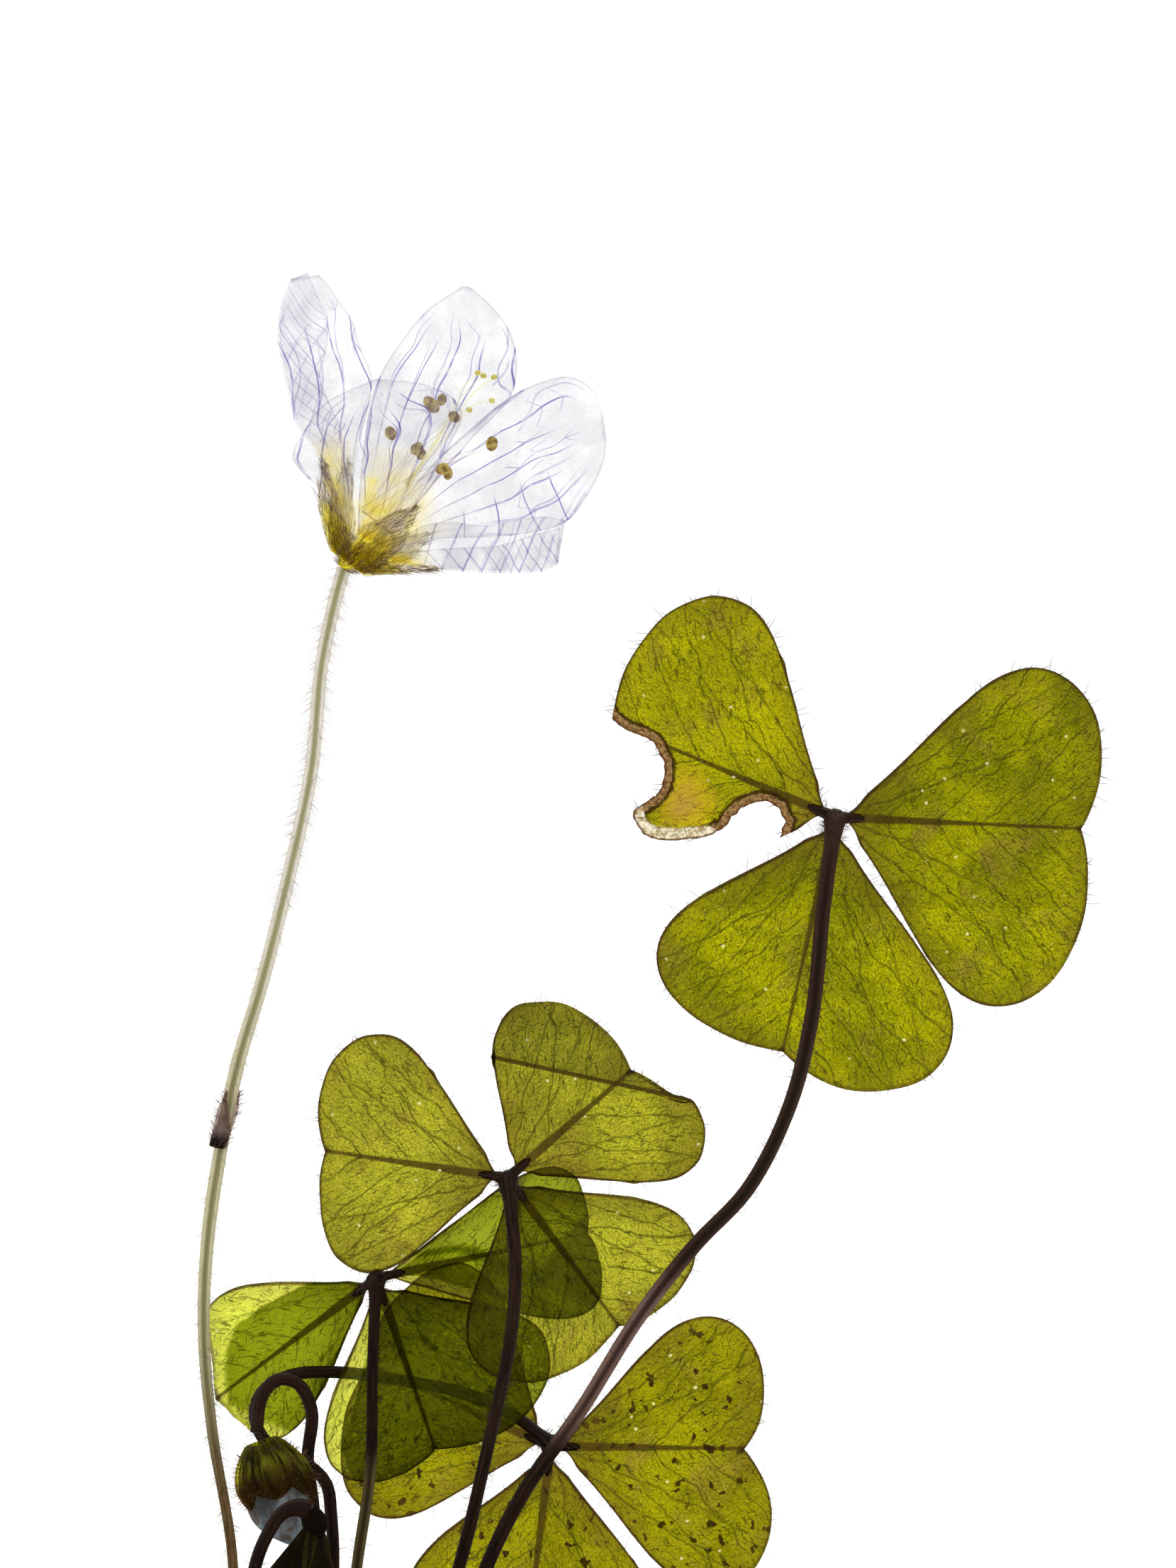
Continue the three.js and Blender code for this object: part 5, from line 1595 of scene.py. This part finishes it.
def pot(material):
    """The pot's profile, turned about Z with the screw modifier, its corners bevelled."""
    rim_foot = POT_HEIGHT - RIM_HEIGHT
    profile = [
        (DRAIN_RADIUS, 0), (POT_FOOT_RADIUS, 0), (inner_radius(rim_foot) + POT_WALL, rim_foot),
        (POT_TOP_RADIUS - RIM_TAPER, rim_foot + RIM_UNDERCUT), (POT_TOP_RADIUS, POT_HEIGHT),
        (inner_radius(POT_HEIGHT), POT_HEIGHT), (inner_radius(POT_FLOOR), POT_FLOOR),
        (DRAIN_RADIUS, POT_FLOOR),
    ]
    mesh = bpy.data.meshes.new("pot")
    places = [Vector((r, 0, z)) * MM for r, z in profile]
    mesh.from_pydata(places, [(k, (k + 1) % len(places)) for k in range(len(places))], [])
    piece = new_object("pot_clay", mesh)
    use_modifier(piece, "SCREW", steps=POT_SECTORS, render_steps=POT_SECTORS,
                 use_merge_vertices=True, merge_threshold=1e-6)
    close_up(piece)
    use_modifier(piece, "BEVEL", width=POT_ROUNDING * MM, segments=4, limit_method="ANGLE",
                 angle_limit=math.radians(30))
    for vertex in piece.data.vertices:
        if vertex.co.z > 0.4 * MM:
            swell = noise.noise(vertex.co * 70) * 0.12 * MM
            out = Vector((vertex.co.x, vertex.co.y, 0)).normalized()
            vertex.co += out * swell
    finish_piece(piece, material, "terracotta", "pot")
    bpy.ops.object.shade_smooth_by_angle(angle=math.radians(40))


def soil_height(x, y):
    """The soil's surface, before its lumps."""
    slow = math.sin(0.31 * x + 0.7) * math.cos(0.27 * y - 0.4)
    quick = math.sin(0.83 * x - 0.64 * y) * math.cos(0.71 * y + 0.5 * x)
    return SOIL_LEVEL + SOIL_BUMP * (0.6 * slow + 0.4 * quick)


def soil(material):
    """The filling, with a crumbly top."""
    edge = inner_radius(SOIL_LEVEL) - 0.1
    floor = POT_FLOOR + 0.3

    def place(u, v):
        turn = 2 * math.pi * v
        ring = round(u * SOIL_RINGS)
        if ring == 0:
            return Vector((0, 0, floor))
        if ring == 1:
            radius, height = inner_radius(floor) - 0.3, floor
            return Vector((radius * math.cos(turn), radius * math.sin(turn), height))
        radius = edge * (SOIL_RINGS - ring) / (SOIL_RINGS - 2)
        x, y = radius * math.cos(turn), radius * math.sin(turn)
        fade = max(0.0, 1 - (radius / edge) ** 6)
        height = SOIL_LEVEL + (soil_height(x, y) - SOIL_LEVEL) * fade
        lumps = noise.fractal(Vector((x, y, 0)) * 0.55, 1.0, 2.1, 4)
        return Vector((x, y, height + 0.55 * lumps))

    piece = sheet("soil_filling", SOIL_RINGS, SOIL_SECTORS, place)
    close_up(piece)
    finish_piece(piece, material, "soil", "soil")


def crumbs(material, pale_material):
    """Crumbs of soil and a few pale grains, half sunk in the top."""
    edge = inner_radius(SOIL_LEVEL) - 1.4
    dark, pale = [], []
    for k in range(CRUMBS):
        radius = edge * math.sqrt(CHANCE.random())
        turn = CHANCE.uniform(0, 2 * math.pi)
        x, y = radius * math.cos(turn), radius * math.sin(turn)
        grain = k % CRUMBS_TO_A_GRAIN == 0
        size = CHANCE.uniform(0.35, 1.25) * (0.7 if grain else 1.0)
        place = Vector((x, y, soil_height(x, y) + 0.2 * size))
        if abs(x - RHIZOME_MIDDLE) < RHIZOME_HALF_LENGTH and abs(y) < RHIZOME_HALF_WIDTH:
            place.z -= 0.4
        deselect()
        bpy.ops.mesh.primitive_ico_sphere_add(subdivisions=2, radius=1.0)
        crumb = bpy.context.object
        shift = Vector((k * 3.1, k * 1.7, 0))
        squash = Vector((CHANCE.uniform(0.8, 1.2), CHANCE.uniform(0.8, 1.2), 0.75)) * size
        for vertex in crumb.data.vertices:
            lump = 1 + 0.45 * noise.noise(vertex.co * 1.6 + shift)
            vertex.co = (place + vertex.co * squash * lump) * MM
        (pale if grain else dark).append(crumb)
    finish_piece(join("soil_crumbs", dark), material, "soil")
    finish_piece(join("soil_grains", pale), pale_material, "soil")


def rhizome(material):
    """The frame's rhizome with its joins softened and its skin made lumpy."""
    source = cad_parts["rhizome"]
    piece = new_object("rhizome_body", source.data.copy())
    close_up(piece)
    use_modifier(piece, "REMESH", mode="VOXEL", voxel_size=0.26 * MM)
    use_modifier(piece, "SMOOTH", factor=0.6, iterations=4)
    for vertex in piece.data.vertices:
        place = vertex.co / MM
        vertex.co += vertex.normal * (0.12 * noise.noise(place * 1.4) + 0.05) * MM
    finish_piece(piece, material, "rhizome", "rhizome")


def rhizome_scales(material):
    """Fleshy scales round the foot of each stalk."""
    pieces, roots = [], []
    for name in ROUTES:
        x, z, y = ROUTES[name][0]
        foot = seen(x, z, y)
        for k in range(SCALES):
            turn = 2 * math.pi * k / SCALES + foot.x
            out = Vector((math.cos(turn), math.sin(turn), 0))
            side = Vector((-out.y, out.x, 0))
            tall = CHANCE.uniform(2.4, 3.4)

            def place(u, v, out=out, side=side, tall=tall, foot=foot):
                across = (2 * v - 1) * 0.8 * math.sin(math.pi * min(1, 0.22 + 0.76 * u)) ** 0.8
                radius = 0.75 + 0.75 * math.sin(math.pi * 0.8 * u) - 0.35 * across**2
                return foot + out * radius + side * across + Vector((0, 0, 0.4 + tall * u))

            piece = sheet("scale", *SCALE_GRID, place)
            thicken(piece, SCALE_THICKNESS)
            pieces.append(piece)
            for _ in range(SCALE_HAIRS):
                u, v = CHANCE.random(), CHANCE.random()
                direction = out + Vector((0, 0, 0.7))
                roots.append((place(u, v), direction, 0.5, HAIR_RADII["scale"]))
    finish_piece(join("rhizome_scales", pieces), material, "rhizome", "rhizome")
    return roots


# The studio

def studio():
    """Soft light all round that is strongest behind the plant and above it."""
    scene = bpy.context.scene
    scene.world = bpy.data.worlds.new("soft_light")
    r = Recipe(scene.world)
    where = r.node("TexCoord").outputs["Generated"]
    split = r.node("SeparateXYZ", {0: where}).outputs
    behind = r.step(split[1], -0.7, 0.6, FRONT_LIGHT, BACK_LIGHT)
    above = r.node("MapRange", {0: split[2], 1: 0.2, 2: 1.0, 3: 0.0, 4: TOP_LIGHT}).outputs[0]
    total = r.plus(behind, above)
    looked_at = r.node("LightPath").outputs["Is Camera Ray"]
    strength = r.node("Mix", {0: looked_at, 2: total, 3: BACKGROUND}).outputs[0]
    glow = r.node("Background", {"Color": "ffffff", "Strength": strength})
    r.done(glow.outputs[0], "OutputWorld")
    scene.view_settings.view_transform = "Standard"
    scene.cycles.use_denoising = True
    scene.cycles.max_bounces = 16
    scene.cycles.diffuse_bounces = 8
    scene.cycles.transparent_max_bounces = 24


def floor():
    """A pale floor that glows a little, so that it melts into the background."""
    deselect()
    bpy.ops.mesh.primitive_plane_add(size=14.0)
    piece = bpy.context.object
    piece.name = "floor"
    r = recipe("pale_floor")
    surface = r.node("BsdfPrincipled", {"Base Color": "f6f5f2", "Roughness": 0.9,
                                        "Emission Color": "ffffff",
                                        "Emission Strength": 0.12}).outputs[0]
    piece.data.materials.append(r.done(surface))


def camera():
    """The photograph's eye, with a lens that takes in the whole height of its frame."""
    data = bpy.data.cameras.new("camera")
    data.sensor_width = FILM
    data.lens = FILM * -EYE.y / PICTURE_HEIGHT
    data.clip_start, data.clip_end = 0.01, 100.0
    eye = new_object("camera", data)
    eye.location = EYE * MM
    eye.rotation_euler = (math.radians(90), 0, 0)
    bpy.context.scene.camera = eye


def plant(dark_hair, pale_hair, violet_hair):
    """All that stands above the soil."""
    leaf_materials = {
        1: leaf_finish("leaf_upper_right", "bebb04", "949406", grained=0.88),
        2: leaf_finish("leaf_middle", "d4d03a", "b6b232", grained=0.85),
        3: leaf_finish("leaf_drooping", "fbff68", "eef658", grained=0.4, folded=True),
        4: leaf_finish("leaf_lower_right", "b4ae08", "969008", specks=0.95, grained=0.75),
    }
    special = {
        (1, "left"): leaf_finish("leaf_bitten", "dcd408", "beb80c", grained=0.88, bitten=True),
        (2, "upper"): leaf_finish("leaf_creased", "cac632", "aaa42a", grained=0.85, creased=True),
    }
    petiole = stem_finish("petiole", "3c2519", "150c07", see=0.0, glow=0.1)
    special_stems = {
        # Petiole 1's first look is a painted highlight from about 84 mm up to about 92 mm, where
        # the second look brings the dark tone back
        "petiole_1": stem_finish(
            "petiole_upper_right_highlight", "3c2519", "150c07", see=0.0, glow=0.1,
            tone_and_light_zones=[(83.5, 85.5, "7d6358", "2e1c18"), (90.5, 94, "3a261c", "1c110b")]),
        # Below about 82 mm petiole 3 takes an olive look: partly its own colour, partly painted
        # light through the stalk where it stands against the background
        "petiole_3": stem_finish(
            "petiole_drooping", "3c2519", "150c07", see=0.1, glow=0.3,
            tone_and_light_zones=[(83.5, 81.5, "746a42", "3a2f1a")]),
    }
    blade_roots, hub_roots, stem_roots = [], [], []
    for number, leaflets in LEAFLETS.items():
        name = f"petiole_{number}"
        skin = special_stems.get(name, petiole)
        line, radii, roots = stalk(name, skin, "petiole", HUBS[number], leaflets)
        hub_roots += roots
        stem_roots += stem_hair_roots(line, radii, density=11, length=0.6)
        stem_roots += stem_hair_roots(line, radii, density=80, length=0.5, start=0.98)
        for side in leaflets:
            material = special.get((number, side), leaf_materials[number])
            blade_roots += leaflet(number, side, material)
    for name in ("young_leaf_petiole", "bud_stalk"):
        line, radii, _ = stalk(name, petiole, "petiole")
        stem_roots += stem_hair_roots(line, radii, density=9, length=0.5)
    pale_stem = stem_finish(
        "flower_stalk", "a08a5c", "5a4226", see=0.3, glow=0.6,
        tone_and_light_zones=[(80, 90, "dad6b4", "6e6a34"), (100, 112, "f0ece4", "84803e")])
    line, radii, _ = stalk("flower_stalk", pale_stem, "flower_stalk")
    pale_roots = stem_hair_roots(line, radii, density=34, length=0.75, lift=-1.3,
                                 kind="flower_stalk")
    hairs("leaf_hairs", blade_roots, dark_hair, "leaf")
    hairs("joint_hairs", hub_roots, violet_hair, "petiole")
    hairs("stalk_hairs", stem_roots, dark_hair, "petiole")
    hairs("flower_stalk_hairs", pale_roots, pale_hair, "flower_stalk")

    petal_material = petal_finish("petal", see=0.88)
    front_material = petal_finish("petal_in_front", see=0.95)
    for name, facts in PETALS.items():
        petal(name, facts, front_material if name == "front" else petal_material)
    stamens(filament_finish("filament", "ffffff", "a88f86", see=0.93),
            plain_finish("anther", "dcc878", "7c6034", scale=3.2, roughness=0.6, glow=0.4,
                         see=0.3))
    pistil(filament_finish("style", "fdfbe2", "b9b487", see=0.75),
           plain_finish("stigma", "ece38c", "c6ba56", scale=4.0, roughness=0.5, glow=0.6,
                        see=0.3))
    calyx_roots = calyx(calyx_finish(
        "calyx", ("fff014", "f6e644", "f4eedc"), "624630", see=(0.86, 0.96), streaks=0.85))
    bract_roots = bracts(calyx_finish(
        "bract", ("a08078", "d8c6c2", "cdb6b4"), "5a3c3c", see=(0.6, 0.85), streaks=0.55,
        glow=0.6, foot="24140f"))
    bud_calyx = calyx_finish(
        "bud_calyx", ("9aa20e", "f6f44a", "7c5a28"), "33210c", see=(0.65, 0.7), streaks=1.0,
        pitch=0.4)
    bud_roots = bud(bud_calyx, bud_petal_finish())
    young_roots = young_leaf(young_leaf_finish())
    hairs("flower_hairs", calyx_roots + bract_roots, violet_hair, "calyx")
    hairs("bud_hairs", bud_roots, violet_hair, "calyx")
    hairs("young_leaf_hairs", young_roots, dark_hair, "young_leaf")


def pot_and_soil(pale_hair):
    """The pot, its filling and what grows in it."""
    rhizome(rhizome_finish())
    scale_roots = rhizome_scales(
        plain_finish("scale", "c08a72", "7a4438", scale=1.0, roughness=0.5, glow=0.15))
    hairs("rhizome_hairs", scale_roots, pale_hair, "rhizome")
    pot(clay_finish())
    soil(soil_finish("soil", "2a1d14", "4d3826"))
    crumbs(soil_finish("crumbs", "2e2016", "5a412c"),
           plain_finish("grains", "e6ddcb", "b8a98f", scale=1.5, roughness=0.9, glow=0.0))


DARK_HAIR = hair_finish("dark_hairs", "2e2012", "5c4a34", glow=0.3)
PALE_HAIR = hair_finish("pale_hairs", "b8ada0", "dcd4cb", glow=0.7, see=0.45)
VIOLET_HAIR = hair_finish("violet_hairs", "5c3e38", "a88c76", glow=0.4)
plant(DARK_HAIR, PALE_HAIR, VIOLET_HAIR)
pot_and_soil(PALE_HAIR)
floor()
camera()
studio()
